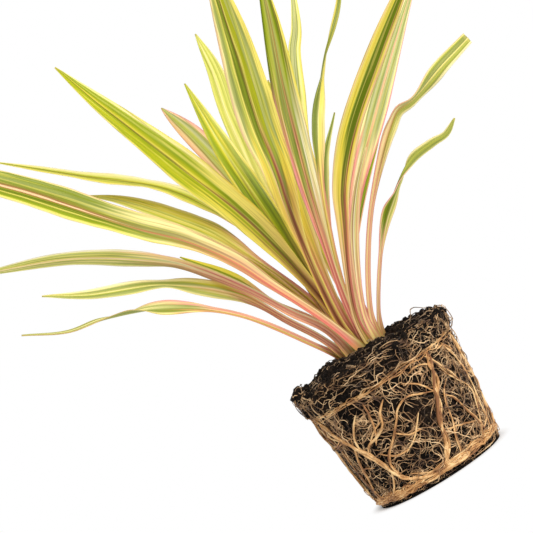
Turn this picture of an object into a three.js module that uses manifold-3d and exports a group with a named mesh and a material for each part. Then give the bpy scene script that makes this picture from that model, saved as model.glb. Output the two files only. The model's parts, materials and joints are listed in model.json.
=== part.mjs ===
// A cordyline plant with narrow striped leaves and a bare root ball, as knocked out of its nursery pot.
// Millimetres, +Z up. The root ball stands on its flat base, centred on the origin; the front is -Y.

import * as THREE from "three";
import { mergeVertices } from "three/addons/utils/BufferGeometryUtils.js";
import Module from "manifold-3d";

const wasm = await Module();
wasm.setup();

// Driving dimensions

const gap = 0.3;                 // between pieces that touch
const ball = {
  height: 97,                    // base to the collar's rim
  baseRadius: 48,
  shoulderRadius: 57.3,          // where the pot's collar begins
  collarLow: 84,
  collarRadius: 61.5,
  mound: 5,                      // how far the soil rises inside the rim
  relief: 2.4,                   // depth of the hollows between crumbs on the wall
  crumbs: { sideways: 1.2, lowest: -2, highest: 2.6, rim: 4 },   // no hollow in the rim round the crown
  sides: 54,
};
const crownHole = { radius: 20.4, floor: 92 };
const crownDome = {
  radius: 19.8,
  sides: 24,
  outline: [[1, 99], [0.86, 102.4], [0.5, 105.2], [0, 106]],   // [share of the radius, height]
};
const roots = {
  loops: [                       // one under the collar, and a bundle at the foot
    { height: 80.2, radius: 1.5, sway: 0.5, waves: 2 },
    { height: 4.2, radius: 1.9, sway: 1.2, waves: 2 },
    { height: 6.8, radius: 1.7, sway: -1.3, waves: 3 },
  ],
  main: 1.5,                     // radii of single roots
  side: 1.15,
  fine: 0.85,
  clearance: 0.75,               // skin to root, with room for a straight step over a curved skin
  step: 12,                      // length of one faceted stretch
  loopSteps: 30,
  corners: 5,                    // round the roots that the front shows, and round the others
  fewerCorners: 4,
};
const leaf = {
  edge: 0.8,                     // thickness at the margins
  rib: 1.2,                      // and at the middle of the blade
  channel: 36,                   // degrees that the stalk's sides rise
  fold: 15,                      // degrees that the blade's sides rise
  tip: 1.2,                      // width at the very end
  waveLength: 75,                // of the margins
  waveShift: 1.7,                // radians by which one margin's waves lead the other's
  socket: 0.35,                  // gap round a foot in the crown
  step: 19,                      // length of one faceted stretch
  fewestSteps: 8,
};

// The ball's side, from the base up: [radius, height]
const side = [
  [ball.baseRadius, 0], [51.4, 23], [54.2, 45], [57, 68], [ball.shoulderRadius, 76],
  [ball.shoulderRadius, 83], [ball.collarRadius - 0.7, ball.collarLow], [ball.collarRadius, ball.height - 1],
];

// Each leaf's route runs from its foot to its tip, and the leaves go clockwise as seen from the front.
// stalk: where the blade starts to widen, and broadest: where it is widest, as shares of the length.
// turns: [share of the length, degrees that the blade has rolled about its route].
const upperFace = new THREE.Vector3(0.25, -1, 0.4).normalize();   // where an unturned blade looks
const tints = { gold: 0xd6c648, lime: 0xbac02c, olive: 0x9ba24e, sage: 0xb6b784, cream: 0xe2cf9c };
const leaves = [
  { name: "leaf_01", tint: "olive", width: 11, stem: 4, stalk: 0.42, broadest: 0.57, taper: 1.1, wave: 0.5,
    route: [[-14.5, -3, 99], [-26, -8, 117], [-61.5, -32, 167.2], [-97, -56, 196], [-135.5, -82, 212.5],
      [-159, -98, 217.5], [-183, -120, 231]],
    turns: [[0, 0], [0.58, 0], [0.69, 74], [0.8, 42], [1, 30]] },
  { name: "leaf_02", tint: "olive", width: 12.5, stem: 5, stalk: 0.26, broadest: 0.47, taper: 2.6,
    wave: 0.8,
    route: [[-13.2, -7.2, 99], [-22.8, -9.5, 123], [-35.3, -10.5, 144.5], [-54.5, -12.5, 177.5],
      [-94, -32, 211.5], [-141, -59, 233.5], [-164, -75, 247.5]],
    turns: [[0, 0], [0.48, 0], [0.62, 32], [0.73, 5], [1, 10]] },
  { name: "leaf_03", tint: "sage", width: 12, stem: 6, stalk: 0.32, broadest: 0.64, taper: 1.9, wave: 1,
    route: [[-10.6, -11.9, 99], [-16, -14, 125], [-31.5, -18, 149.5], [-47, -19, 176.5],
      [-68.5, -18, 206], [-83.5, -20, 223], [-137, -24, 260], [-184.5, -28, 280], [-204, -30, 287]],
    turns: [[0, 0], [0.5, 10], [0.66, 0], [1, 0]] },
  { name: "leaf_04", tint: "lime", width: 7, stem: 3.2, stalk: 0.45, broadest: 0.76, taper: 1.6, wave: 0.6,
    route: [[-11.5, 1, 99], [-16.5, 5, 130], [-36.5, 19, 160.5], [-49.5, 35, 187.5], [-78, 60, 225]],
    turns: [[0, 0], [1, 20]] },
  { name: "leaf_05", tint: "olive", width: 23.5, stem: 6, stalk: 0.12, broadest: 0.7, taper: 3, wave: 1.1,
    route: [[-2, -15, 99], [-13.5, -19, 132.5], [-32.8, -25.5, 174.5], [-44, -31, 199],
      [-65.5, -41.5, 230], [-86.5, -52, 252.3], [-139, -81, 313], [-184, -110, 360]],
    turns: [[0, 0], [1, 10]] },
  { name: "leaf_06", tint: "gold", width: 12, stem: 4.8, stalk: 0.2, broadest: 0.55, taper: 2.6, wave: 1.1,
    route: [[-7.5, 5, 99], [-10.5, 9, 136], [-13.5, 22, 178], [-28.5, 37, 219], [-58, 62, 270],
      [-110.5, 95, 317], [-164.5, 130, 366]],
    turns: [[0, 10], [0.5, 20], [1, 30]] },
  { name: "leaf_07", tint: "lime", width: 15.5, stem: 4.8, stalk: 0.34, broadest: 0.66, taper: 1.7,
    wave: 1.2,
    route: [[-5, 9.5, 99], [-10.5, 14, 136], [-21.5, 25, 169.5], [-33, 37, 196.3], [-47, 51, 226],
      [-64, 66, 249.5], [-95, 90, 286], [-114, 103, 302.5]],
    turns: [[0, 0], [1, 12]] },
  { name: "leaf_08", tint: "gold", width: 26, stem: 5.4, stalk: 0.08, broadest: 0.58, taper: 1.7, wave: 0.9,
    route: [[-6, -4.5, 99], [-7.5, -7, 143], [-22, -27, 217.2], [-44.5, -53, 280.4], [-67, -81, 340.4],
      [-76, -95, 368]],
    turns: [[0, 0], [1, 6]] },
  { name: "leaf_09", tint: "sage", width: 19.5, stem: 4.8, stalk: 0.18, broadest: 0.72, taper: 2.7, wave: 1,
    route: [[1, 11, 99], [-5, 19, 142], [-11, 69, 227], [-22, 120, 295.5], [-32, 150, 334]],
    turns: [[0, 0], [1, 10]] },
  { name: "leaf_10", tint: "lime", width: 19, stem: 5, stalk: 0.08, broadest: 0.62, taper: 1.6, wave: 0.9,
    route: [[-4, 0.3, 99], [-6, 2, 144], [-8, 15, 207], [-9.5, 33, 272], [-8, 50, 330]],
    turns: [[0, 0], [1, 5]] },
  { name: "leaf_11", tint: "lime", width: 16, stem: 4.8, stalk: 0.2, broadest: 0.7, taper: 2.4, wave: 0.9,
    route: [[-1.5, 5.7, 99], [-4.5, 10.5, 141], [-1.5, 36, 214], [8.3, 73, 292.6], [16.7, 93, 331.2],
      [19.8, 110, 364]],
    turns: [[0, 0], [1, 8]] },
  { name: "leaf_12", tint: "gold", width: 27.7, stem: 6, stalk: 0.24, broadest: 0.6, taper: 2.2, wave: 1,
    route: [[-4.3, -9.8, 99], [-6, -12.5, 127], [2.5, -38, 197], [12, -60, 239], [16.5, -74, 266],
      [31, -111, 323], [42, -150, 373]],
    turns: [[0, 0], [1, 4]] },
  { name: "leaf_13", tint: "gold", width: 12.5, stem: 4.8, stalk: 0.2, broadest: 0.62, taper: 2.2,
    wave: 0.7,
    route: [[0.7, -3.8, 99], [-0.5, -2, 130], [10.5, 3, 196], [28.5, 11, 258], [40.5, 17, 291]],
    turns: [[0, 0], [1, 0]] },
  { name: "leaf_14", tint: "olive", width: 18.5, stem: 5, stalk: 0.2, broadest: 0.58, taper: 2.2, wave: 0.8,
    route: [[1.7, -9, 99], [4.5, -12, 132], [21, -33, 203], [38.5, -59, 263.5], [58.5, -89, 319.3],
      [70, -110, 355]],
    turns: [[0, 0], [1, 4]] },
  { name: "leaf_15", tint: "olive", width: 11, stem: 4.6, stalk: 0.2, broadest: 0.62, taper: 2.2, wave: 1.6,
    route: [[3.8, 4.5, 99], [7.5, 9, 136], [34, 44, 214.5], [44, 64, 250], [63, 88, 288],
      [76, 101, 312.5], [86.5, 113, 326.5], [107, 140, 365]],
    turns: [[0, 0], [1, 10]] },
  { name: "leaf_16", tint: "olive", width: 9.5, stem: 3.4, stalk: 0.39, broadest: 0.53, taper: 1.5,
    wave: 0.4,
    route: [[5.8, -3.8, 99], [6, -1.5, 128], [28, 12, 196], [59, 29, 255], [85.5, 41, 289.5],
      [117, 52, 320], [140.5, 72, 352]],
    turns: [[0, 0], [0.55, 0], [0.68, 78], [0.84, 150], [1, 160]] },
  { name: "leaf_17", tint: "olive", width: 6.5, stem: 3.4, stalk: 0.45, broadest: 0.72, taper: 1, wave: 0.3,
    route: [[6.5, 9, 99], [7, 13, 124.5], [16, 34, 164], [26.7, 53, 188], [51.2, 90, 229.5],
      [78.5, 120, 258]],
    turns: [[0, 0], [1, 20]] },
  { name: "leaf_18", tint: "gold", width: 14.3, stem: 5, stalk: 0.14, broadest: 0.55, taper: 3, wave: 0.7,
    route: [[4, -14.5, 99], [5.5, -17.5, 123], [33, -39, 186.5], [42, -46, 203.2], [66.5, -64, 232.6],
      [108.5, -93, 267.3], [156, -130, 302]],
    turns: [[0, 0], [1, 5]] },
  { name: "leaf_19", tint: "cream", width: 7, stem: 4.2, stalk: 0.2, broadest: 0.6, taper: 1.4, wave: 0.4,
    route: [[9.5, -12.5, 99], [12, -12.5, 122], [33, -20, 169], [54, -28, 199], [73, -34, 219]],
    turns: [[0, 0], [1, 15]] },
  { name: "leaf_20", tint: "sage", width: 15.5, stem: 6, stalk: 0.24, broadest: 0.62, taper: 1.2, wave: 0.9,
    route: [[8, -8, 99], [11, -6, 125], [46.3, 3, 188], [91, 14, 233], [140.5, 28, 277.5],
      [180, 40, 311.5]],
    turns: [[0, 0], [1, 8]] },
  { name: "leaf_21", tint: "olive", width: 5, stem: 3.6, stalk: 0.2, broadest: 0.6, taper: 1.4, wave: 0.5,
    route: [[8.5, 5.3, 99], [11.5, 13, 126.5], [29, 38, 157.3], [50, 67, 182], [100.5, 130, 226.5]],
    turns: [[0, 0], [1, 15]] },
  { name: "leaf_22", tint: "sage", width: 11.5, stem: 3.8, stalk: 0.4, broadest: 0.8, taper: 1.5, end: 9,
    wave: 0.4,
    route: [[11.5, -4, 99], [16.7, -6, 120.5], [52.5, -19, 179], [95, -33, 222.3], [104.2, -35.5, 228.8],
      [115.5, -39, 229.6], [136.5, -45, 235.8], [168, -55, 244]],
    turns: [[0, 0], [0.6, 8], [0.765, 84], [0.92, 8], [1, 0]] },
  { name: "leaf_23", tint: "olive", width: 8.5, stem: 2.8, stalk: 0.33, broadest: 0.55, taper: 5, wave: 0.4,
    route: [[14, 0.5, 99], [21, -5, 116.5], [53.5, -28, 164.5], [80, -48, 188.5], [93, -55.5, 196],
      [109, -66, 197.8], [119.5, -74.5, 197.8], [128.5, -80, 203]],
    turns: [[0, 0], [0.5, 0], [0.64, 86], [0.79, 176], [1, 180]] },
  { name: "leaf_24", tint: "lime", width: 16, stem: 5, stalk: 0.12, broadest: 0.58, taper: 1.7, wave: 1,
    route: [[-10.5, 11, 99], [-14, 20, 136], [-42, 68, 205.5], [-93, 135, 266], [-135, 190, 313]],
    turns: [[0, 0], [1, 25]] },
  { name: "leaf_25", tint: "gold", width: 19, stem: 5, stalk: 0.1, broadest: 0.55, taper: 1.6, wave: 1,
    route: [[-5, 15.5, 99], [-7, 29, 143], [-20, 117, 223], [-40, 210, 291]],
    turns: [[0, 0], [1, 20]] },
  { name: "leaf_26", tint: "olive", width: 17, stem: 5, stalk: 0.1, broadest: 0.55, taper: 1.7, wave: 1,
    route: [[1, 17, 99], [1, 26, 140], [2, 94, 208], [4, 165, 261], [12, 215, 294]],
    turns: [[0, 0], [1, -15]] },
  { name: "leaf_27", tint: "lime", width: 18, stem: 5, stalk: 0.1, broadest: 0.55, taper: 1.6, wave: 1,
    route: [[6.5, 15.5, 99], [8, 27, 133], [19, 92, 198], [40, 177, 267], [55, 240, 316]],
    turns: [[0, 0], [1, -20]] },
  { name: "leaf_28", tint: "sage", width: 13, stem: 4.6, stalk: 0.14, broadest: 0.58, taper: 1.7, wave: 0.9,
    route: [[11.8, 11.3, 99], [14.3, 26.5, 131], [37.5, 90, 181], [84, 163, 238], [127, 230, 275]],
    turns: [[0, 0], [1, -10]] },
  { name: "leaf_29", tint: "olive", width: 11, stem: 4.4, stalk: 0.16, broadest: 0.58, taper: 1.6,
    wave: 0.7,
    route: [[14, 6.5, 99], [15.5, 20, 130], [38, 68, 171], [76, 120, 214], [114, 172, 247]],
    turns: [[0, 0], [1, 10]] },
];

// Roots that the front shows, from the top down: [x, height] on the ball's skin
const frontRoots = [
  { radius: 1.9, points: [[33, 80], [31, 70], [28, 60], [21, 46], [15, 31], [14, 22], [8, 13], [2, 7]] },
  { radius: 1.4, points: [[33, 72], [31, 58], [27, 45], [22, 30], [18, 16], [19, 7]] },
  { radius: 1.5, points: [[25, 54], [14, 58], [4, 62], [-3, 60], [-6, 54], [-16, 44], [-25, 34], [-27, 26],
    [-23, 14], [-15, 7]] },
  { radius: 1.8, points: [[-50, 70], [-46, 54], [-38, 41], [-30, 31], [-24, 18], [-17, 11], [-4, 7]] },
  { radius: 1.3, points: [[-44, 60], [-48, 44], [-46, 22], [-44, 7]] },
  { radius: 1.2, points: [[30, 50], [37, 36], [39, 22], [36, 8]] },
  { radius: 1.2, points: [[42, 79], [46, 52], [44, 34], [43, 7]] },
  { radius: 1.2, points: [[-8, 79], [-10, 67], [-20, 54], [-31, 49], [-37, 41]] },
  { radius: 1.2, points: [[-20, 79], [-14, 64], [-22, 44], [-12, 27], [-18, 11]] },
];

// Roots round the back and sides, placed by a seeded rule
const hiddenRoots = {
  seed: 7,
  uprights: { count: 14, firstAngle: -12, lastAngle: 200, sway: 6, heights: [80, 64, 48, 32, 18, 6] },
  branches: {
    count: 30,
    starts: [14, 74],            // heights
    reaches: [16, 30],           // degrees round the ball
    rises: [-26, 18],
    sway: 3.5,
    floor: 10,
    ceiling: 77,
    spread: 8,
  },
};

function randomFrom(seed) {
  let state = seed;
  return () => {
    state = (state + 0x6d2b79f5) | 0;
    let mixed = Math.imul(state ^ (state >>> 15), 1 | state);
    mixed = (mixed + Math.imul(mixed ^ (mixed >>> 7), 61 | mixed)) ^ mixed;
    return ((mixed ^ (mixed >>> 14)) >>> 0) / 4294967296;
  };
}

function solidFrom(geometry) {
  const bare = geometry.clone();
  for (const name of Object.keys(bare.attributes)) if (name !== "position") bare.deleteAttribute(name);
  const merged = mergeVertices(bare, 1e-4);
  return new wasm.Manifold(new wasm.Mesh({
    numProp: 3,
    vertProperties: new Float32Array(merged.attributes.position.array),
    triVerts: new Uint32Array(merged.index.array),
  }));
}

function geometryFrom(solid) {
  const mesh = solid.getMesh();
  const geometry = new THREE.BufferGeometry();
  geometry.setAttribute("position", new THREE.BufferAttribute(mesh.vertProperties, 3));
  geometry.setIndex(new THREE.BufferAttribute(mesh.triVerts, 1));
  return geometry;
}

function largestPiece(solid) {
  return solid.decompose().reduce((best, piece) => (piece.volume() > best.volume() ? piece : best));
}

function meshOf(name, geometry, material) {
  geometry.computeVertexNormals();
  const mesh = new THREE.Mesh(geometry, material);
  mesh.name = name;
  return mesh;
}

// Root ball

function skinRadius(height) {
  const above = side.findIndex(([, z]) => z >= height);
  if (above <= 0) return above === 0 ? side[0][0] : side.at(-1)[0];
  const [lowRadius, low] = side[above - 1];
  const [highRadius, high] = side[above];
  return THREE.MathUtils.mapLinear(height, low, high, lowRadius, highRadius);
}

function soilProfile() {
  const rows = [0, 3, 9, 16, 23, 30, 38, 45, 53, 61, 68, 76, 83, ball.collarLow, 90, ball.height - 1];
  const wall = rows.map((z) => new THREE.Vector2(skinRadius(z), z));
  const top = [[57, 1.5], [50, 2.6], [42, 3.3], [34, 4], [28, ball.mound], [23, ball.mound]]
    .map(([radius, rise]) => new THREE.Vector2(radius, ball.height + rise));
  const hole = [[crownHole.radius, ball.height + ball.mound - 2], [crownHole.radius, crownHole.floor],
    [0, crownHole.floor]].map(([radius, z]) => new THREE.Vector2(radius, z));
  return [new THREE.Vector2(0, 0), new THREE.Vector2(26, 0), ...wall, ...top, ...hole];
}

function soilBall() {
  const slack = 0.5;
  const lathe = new THREE.LatheGeometry(soilProfile(), ball.sides);
  lathe.rotateX(Math.PI / 2);
  lathe.deleteAttribute("uv");
  lathe.deleteAttribute("normal");
  const geometry = mergeVertices(lathe, 1e-4);
  const random = randomFrom(3);
  const position = geometry.attributes.position;
  for (let i = 0; i < position.count; i++) {
    const point = new THREE.Vector3().fromBufferAttribute(position, i);
    const radius = Math.hypot(point.x, point.y);
    const inHole = radius < crownHole.radius + slack;
    const onWall = radius > skinRadius(point.z) - slack && point.z < ball.height;
    if (inHole) continue;
    if (onWall) {
      const shrink = (radius - ball.relief * random()) / radius;
      point.x *= shrink;
      point.y *= shrink;
    } else if (point.z > ball.height) {
      const { sideways, lowest, highest, rim } = ball.crumbs;
      point.x += THREE.MathUtils.lerp(-sideways, sideways, random());
      point.y += THREE.MathUtils.lerp(-sideways, sideways, random());
      point.z += THREE.MathUtils.lerp(radius < crownHole.radius + rim ? 0 : lowest, highest, random());
    }
    position.setXYZ(i, point.x, point.y, point.z);
  }
  const material = new THREE.MeshStandardMaterial({ color: 0x33281c, roughness: 0.95, metalness: 0 });
  return meshOf("soil_ball", geometry, material);
}

// Roots on the skin

class SkinCurve extends THREE.Curve {
  constructor(places, radius) {   // places: [angle in degrees, height]
    super();
    this.lift = radius + roots.clearance;
    this.places = new THREE.CatmullRomCurve3(places.map(([angle, z]) => new THREE.Vector3(angle, z, 0)));
  }
  getPoint(share, target = new THREE.Vector3()) {
    const place = this.places.getPoint(share);
    const angle = THREE.MathUtils.degToRad(place.x);
    const radius = skinRadius(place.y) + this.lift;
    return target.set(radius * Math.cos(angle), radius * Math.sin(angle), place.y);
  }
}

function rootTube(places, radius, corners = roots.corners) {
  const section = new THREE.Shape();
  for (let i = 0; i < corners; i++) {
    const angle = (i / corners) * 2 * Math.PI;
    const point = [radius * Math.cos(angle), radius * Math.sin(angle)];
    if (i === 0) section.moveTo(...point);
    else section.lineTo(...point);
  }
  section.closePath();
  const path = new SkinCurve(places, radius);
  const steps = Math.max(2, Math.round(path.getLength() / roots.step));
  return solidFrom(new THREE.ExtrudeGeometry(section, { steps, bevelEnabled: false, extrudePath: path }));
}

function frontAngle(x, height) {
  return THREE.MathUtils.radToDeg(Math.atan2(-Math.sqrt(skinRadius(height) ** 2 - x ** 2), x));
}

// A loop right round the ball, which rises and dips a little
function rootLoop({ height, radius, sway, waves }) {
  const reach = skinRadius(height) + radius + roots.clearance;
  const ring = new THREE.TorusGeometry(reach, radius, roots.corners, roots.loopSteps);
  const position = ring.attributes.position;
  for (let i = 0; i < position.count; i++) {
    const angle = Math.atan2(position.getY(i), position.getX(i));
    position.setZ(i, position.getZ(i) + height + sway * Math.sin(waves * angle));
  }
  return solidFrom(ring);
}

function hiddenRootTubes(random) {
  const { uprights, branches } = hiddenRoots;
  const between = (low, high) => THREE.MathUtils.lerp(low, high, random());
  const tubes = [];
  for (let i = 0; i < uprights.count; i++) {
    const angle = THREE.MathUtils.lerp(uprights.firstAngle, uprights.lastAngle, i / (uprights.count - 1));
    const places = uprights.heights.map((z) => [angle + between(-uprights.sway, uprights.sway), z]);
    tubes.push(rootTube(places, i % 3 === 0 ? roots.main : roots.side, roots.fewerCorners));
  }
  for (let i = 0; i < branches.count; i++) {
    const start = (i / branches.count) * 360 + between(0, branches.spread);
    const reach = (random() < 0.5 ? -1 : 1) * between(...branches.reaches);
    const height = between(...branches.starts);
    const rise = between(...branches.rises);
    const places = [0, 0.5, 1].map((share) => {
      const z = height + rise * share + between(-branches.sway, branches.sway);
      return [start + reach * share, THREE.MathUtils.clamp(z, branches.floor, branches.ceiling)];
    });
    tubes.push(rootTube(places, roots.fine, roots.fewerCorners));
  }
  return tubes;
}

function rootNet() {
  const random = randomFrom(hiddenRoots.seed);
  const shown = frontRoots.map(({ radius, points }) =>
    rootTube(points.map(([x, z]) => [frontAngle(x, z), z]), radius));
  const pieces = [...roots.loops.map(rootLoop), ...shown, ...hiddenRootTubes(random)];
  const net = largestPiece(wasm.Manifold.union(pieces));
  const material = new THREE.MeshStandardMaterial({ color: 0xc89a60, roughness: 0.8, metalness: 0 });
  return meshOf("root_net", geometryFrom(net), material);
}

// Leaves

function turnAt(turns, share) {
  const next = turns.findIndex(([at]) => at >= share);
  if (next <= 0) return turns[0][1];
  const [low, from] = turns[next - 1];
  const [high, to] = turns[next];
  return THREE.MathUtils.lerp(from, to, THREE.MathUtils.smoothstep(share, low, high));
}

function halfWidth({ width, stem, stalk, broadest, taper, end = leaf.tip }, share) {
  const widening = THREE.MathUtils.smoothstep(share, stalk, broadest);
  if (share < broadest) return 0.5 * THREE.MathUtils.lerp(stem, width, widening);
  const beyond = (share - broadest) / (1 - broadest);
  return 0.5 * THREE.MathUtils.lerp(width, end, beyond ** taper);
}

// Corners of the blade's section at a share of its length: three on the upper face, three on the lower
function leafSection(shape, curve, share, grow) {
  const middle = curve.getPointAt(share);
  const along = curve.getTangentAt(share);
  const across = new THREE.Vector3().crossVectors(upperFace, along).normalize();
  across.applyAxisAngle(along, THREE.MathUtils.degToRad(turnAt(shape.turns, share)));
  const up = new THREE.Vector3().crossVectors(along, across);
  const blade = THREE.MathUtils.smoothstep(share, shape.stalk, shape.broadest);
  const rise = THREE.MathUtils.degToRad(THREE.MathUtils.lerp(leaf.channel, leaf.fold, blade));
  const half = halfWidth(shape, share) + grow;
  if (share === 0) middle.addScaledVector(along, -grow);
  const waves = 2 * Math.PI * Math.round(curve.getLength() / leaf.waveLength);
  const swell = shape.wave * Math.sin(Math.PI * share) ** 2;
  return [1, -1].flatMap((face) => [-1, 0, 1].map((edge) => {
    const thickness = (edge === 0 ? leaf.rib : leaf.edge) / Math.cos(rise);
    const wave = edge === 0 ? 0 : swell * Math.sin(waves * share + leaf.waveShift * edge);
    const skin = thickness / 2 + grow / Math.cos(rise);
    const lift = Math.abs(edge) * half * Math.tan(rise) + wave + face * skin;
    return middle.clone().addScaledVector(across, edge * half).addScaledVector(up, lift);
  }));
}

function leafGeometry(shape, grow = 0) {
  const curve = new THREE.CatmullRomCurve3(shape.route.map((point) => new THREE.Vector3(...point)));
  const steps = Math.max(leaf.fewestSteps, Math.round(curve.getLength() / leaf.step));
  const corners = 6;
  const points = [];
  for (let i = 0; i <= steps; i++) points.push(...leafSection(shape, curve, i / steps, grow));
  const faces = [];
  const quad = (a, b, c, d) => faces.push(a, b, c, a, c, d);
  // Both faces are split along the same diagonal, so that the thin blade never crosses itself
  for (let i = 0; i < steps; i++) {
    const here = i * corners;
    const next = here + corners;
    for (const k of [0, 1]) {
      quad(next + k + 1, here + k + 1, here + k, next + k);
      faces.push(here + k + 4, next + k + 4, here + k + 3, next + k + 4, next + k + 3, here + k + 3);
    }
    quad(here + 3, next + 3, next, here);
    quad(next + 2, next + 5, here + 5, here + 2);
  }
  const last = steps * corners;
  for (const k of [0, 1]) {
    quad(k + 1, k + 4, k + 3, k);
    quad(last + k + 3, last + k + 4, last + k + 1, last + k);
  }
  const geometry = new THREE.BufferGeometry();
  const numbers = points.flatMap((point) => point.toArray());
  geometry.setAttribute("position", new THREE.Float32BufferAttribute(numbers, 3));
  geometry.setIndex(faces);
  return geometry;
}

function leafMesh(shape) {
  const material = new THREE.MeshStandardMaterial({ color: tints[shape.tint], roughness: 0.5, metalness: 0 });
  return meshOf(shape.name, leafGeometry(shape), material);
}

// The short growing base that holds every leaf's foot, in the soil's hole
function crown() {
  const bottom = crownHole.floor + gap;
  const outline = crownDome.outline.map(([share, z]) => [share * crownDome.radius, z]);
  const profile = [[0, bottom], [crownDome.radius, bottom], ...outline];
  const dome = new THREE.LatheGeometry(profile.map((point) => new THREE.Vector2(...point)), crownDome.sides);
  dome.rotateX(Math.PI / 2);
  const sockets = wasm.Manifold.union(leaves.map((shape) => solidFrom(leafGeometry(shape, leaf.socket))));
  const body = largestPiece(solidFrom(dome).subtract(sockets));
  const material = new THREE.MeshStandardMaterial({ color: 0x9a8a4a, roughness: 0.7, metalness: 0 });
  return meshOf("crown", geometryFrom(body), material);
}

const plant = new THREE.Group();
plant.add(soilBall(), rootNet(), crown(), ...leaves.map(leafMesh));

export default plant;
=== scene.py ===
import json
import math
import bpy
from mathutils import Matrix, Vector, noise


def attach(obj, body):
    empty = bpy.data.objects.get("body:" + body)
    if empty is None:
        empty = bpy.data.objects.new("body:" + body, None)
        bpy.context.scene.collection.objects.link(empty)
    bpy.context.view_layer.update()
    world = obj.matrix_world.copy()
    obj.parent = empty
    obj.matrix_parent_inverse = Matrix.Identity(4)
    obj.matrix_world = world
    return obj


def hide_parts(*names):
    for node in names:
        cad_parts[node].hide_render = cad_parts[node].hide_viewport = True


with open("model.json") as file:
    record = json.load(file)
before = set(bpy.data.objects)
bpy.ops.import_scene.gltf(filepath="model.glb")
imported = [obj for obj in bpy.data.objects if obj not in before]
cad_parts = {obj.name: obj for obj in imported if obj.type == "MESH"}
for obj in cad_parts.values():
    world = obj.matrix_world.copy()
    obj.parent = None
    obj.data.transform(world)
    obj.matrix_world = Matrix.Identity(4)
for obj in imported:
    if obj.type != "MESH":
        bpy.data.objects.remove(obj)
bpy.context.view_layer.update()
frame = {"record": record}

mm = 0.001


def tone(red, green, blue):  # screen colour to the renderer's own
    shares = [value / 255 for value in (red, green, blue)]
    return tuple(v / 12.92 if v < 0.04045 else ((v + 0.055) / 1.055) ** 2.4 for v in shares) + (1,)


def mix(low, high, share):
    return low + (high - low) * share


def clamp(value, low=0.0, high=1.0):
    return min(max(value, low), high)


def smooth(value, low, high):
    share = clamp((value - low) / (high - low))
    return share * share * (3 - 2 * share)


def seededNumbers(seed):  # the same run of numbers from 0 to 1 as the solids use
    state = seed
    while True:
        state = (state + 0x6d2b79f5) & 0xffffffff
        mixed = ((state ^ (state >> 15)) * (1 | state)) & 0xffffffff
        mixed = ((mixed + (((mixed ^ (mixed >> 7)) * (61 | mixed)) & 0xffffffff)) & 0xffffffff) ^ mixed
        yield ((mixed ^ (mixed >> 14)) & 0xffffffff) / 4294967296


# Sums on node sockets

class Wire:
    def __init__(self, sheet, socket):
        self.sheet = sheet
        self.socket = socket

    def __add__(self, other):
        return self.sheet.sum("ADD", self, other)

    def __radd__(self, other):
        return self.sheet.sum("ADD", other, self)

    def __sub__(self, other):
        return self.sheet.sum("SUBTRACT", self, other)

    def __rsub__(self, other):
        return self.sheet.sum("SUBTRACT", other, self)

    def __mul__(self, other):
        return self.sheet.sum("MULTIPLY", self, other)

    def __truediv__(self, other):
        return self.sheet.sum("DIVIDE", self, other)

    def __rtruediv__(self, other):
        return self.sheet.sum("DIVIDE", other, self)

    def step(self, low, high):  # 0 below low, 1 above high, smooth between
        settings = {"interpolation_type": "SMOOTHSTEP", "clamp": True}
        return self.sheet.add("ShaderNodeMapRange", settings, {0: self, 1: low, 2: high, 3: 0.0, 4: 1.0})


class Sheet:  # the nodes of a material or of a modifier
    def __init__(self, tree):
        self.tree = tree

    def add(self, kind, settings=None, sockets=None, output=0):
        node = self.tree.nodes.new(kind)
        for name, value in (settings or {}).items():
            setattr(node, name, value)
        for name, value in (sockets or {}).items():
            if isinstance(value, Wire):
                self.tree.links.new(value.socket, node.inputs[name])
            else:
                node.inputs[name].default_value = value
        return Wire(self, node.outputs[output]) if node.outputs else None

    def ramp(self, value, stops):  # stops are pairs of place and colour
        made = self.add("ShaderNodeValToRGB", None, {"Fac": value})
        elements = made.socket.node.color_ramp.elements
        while len(elements) < len(stops):
            elements.new(1)
        for element, (place, colour) in zip(elements, stops):
            element.position = place
            element.color = colour
        return made

    def blend(self, share, first, second, way="MIX"):
        settings = {"data_type": "RGBA", "blend_type": way, "clamp_factor": True}
        return self.add("ShaderNodeMix", settings, {0: share, 6: first, 7: second}, output=2)

    def point(self, x=0.0, y=0.0, z=0.0):
        return self.add("ShaderNodeCombineXYZ", None, {0: x, 1: y, 2: z})

    def sum(self, operation, *values):
        return self.add("ShaderNodeMath", {"operation": operation}, dict(enumerate(values)))

    def place(self):  # the point in the object's own axes
        return self.add("ShaderNodeTexCoord", None, None, output="Object")

    def vector(self, operation, sockets, output=0):
        return self.add("ShaderNodeVectorMath", {"operation": operation}, sockets, output)

    def part(self, vector, axis):
        return self.add("ShaderNodeSeparateXYZ", None, {0: vector}, output=axis)

    def noise(self, vector, scale, detail=2.0, rough=0.5):
        sockets = {"Vector": vector, "Scale": scale, "Detail": detail, "Roughness": rough}
        return self.add("ShaderNodeTexNoise", None, sockets)

    def bump(self, height, strength, distance):
        sockets = {"Height": height, "Strength": strength, "Distance": distance}
        return self.add("ShaderNodeBump", None, sockets)


def newFinish(name, fill):  # fill returns what feeds the shader, by socket name
    material = bpy.data.materials.new(name)
    material.use_nodes = True
    tree = material.node_tree
    shader = tree.nodes["Principled BSDF"]
    sheet = Sheet(tree)
    for socket, value in fill(sheet).items():
        if isinstance(value, Wire):
            tree.links.new(value.socket, shader.inputs[socket])
        else:
            shader.inputs[socket].default_value = value
    return material


def ringFaces(rings, columns, start=0, caps=True):  # faces between closed rings of points, and over the ends
    faces = []
    for row in range(rings - 1):
        for k in range(columns):
            a = start + row * columns + k
            b = start + row * columns + (k + 1) % columns
            faces.append((a, b, b + columns, a + columns))
    if caps:
        last = start + (rings - 1) * columns
        faces.append(tuple(start + k for k in reversed(range(columns))))
        faces.append(tuple(last + k for k in range(columns)))
    return faces


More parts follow.
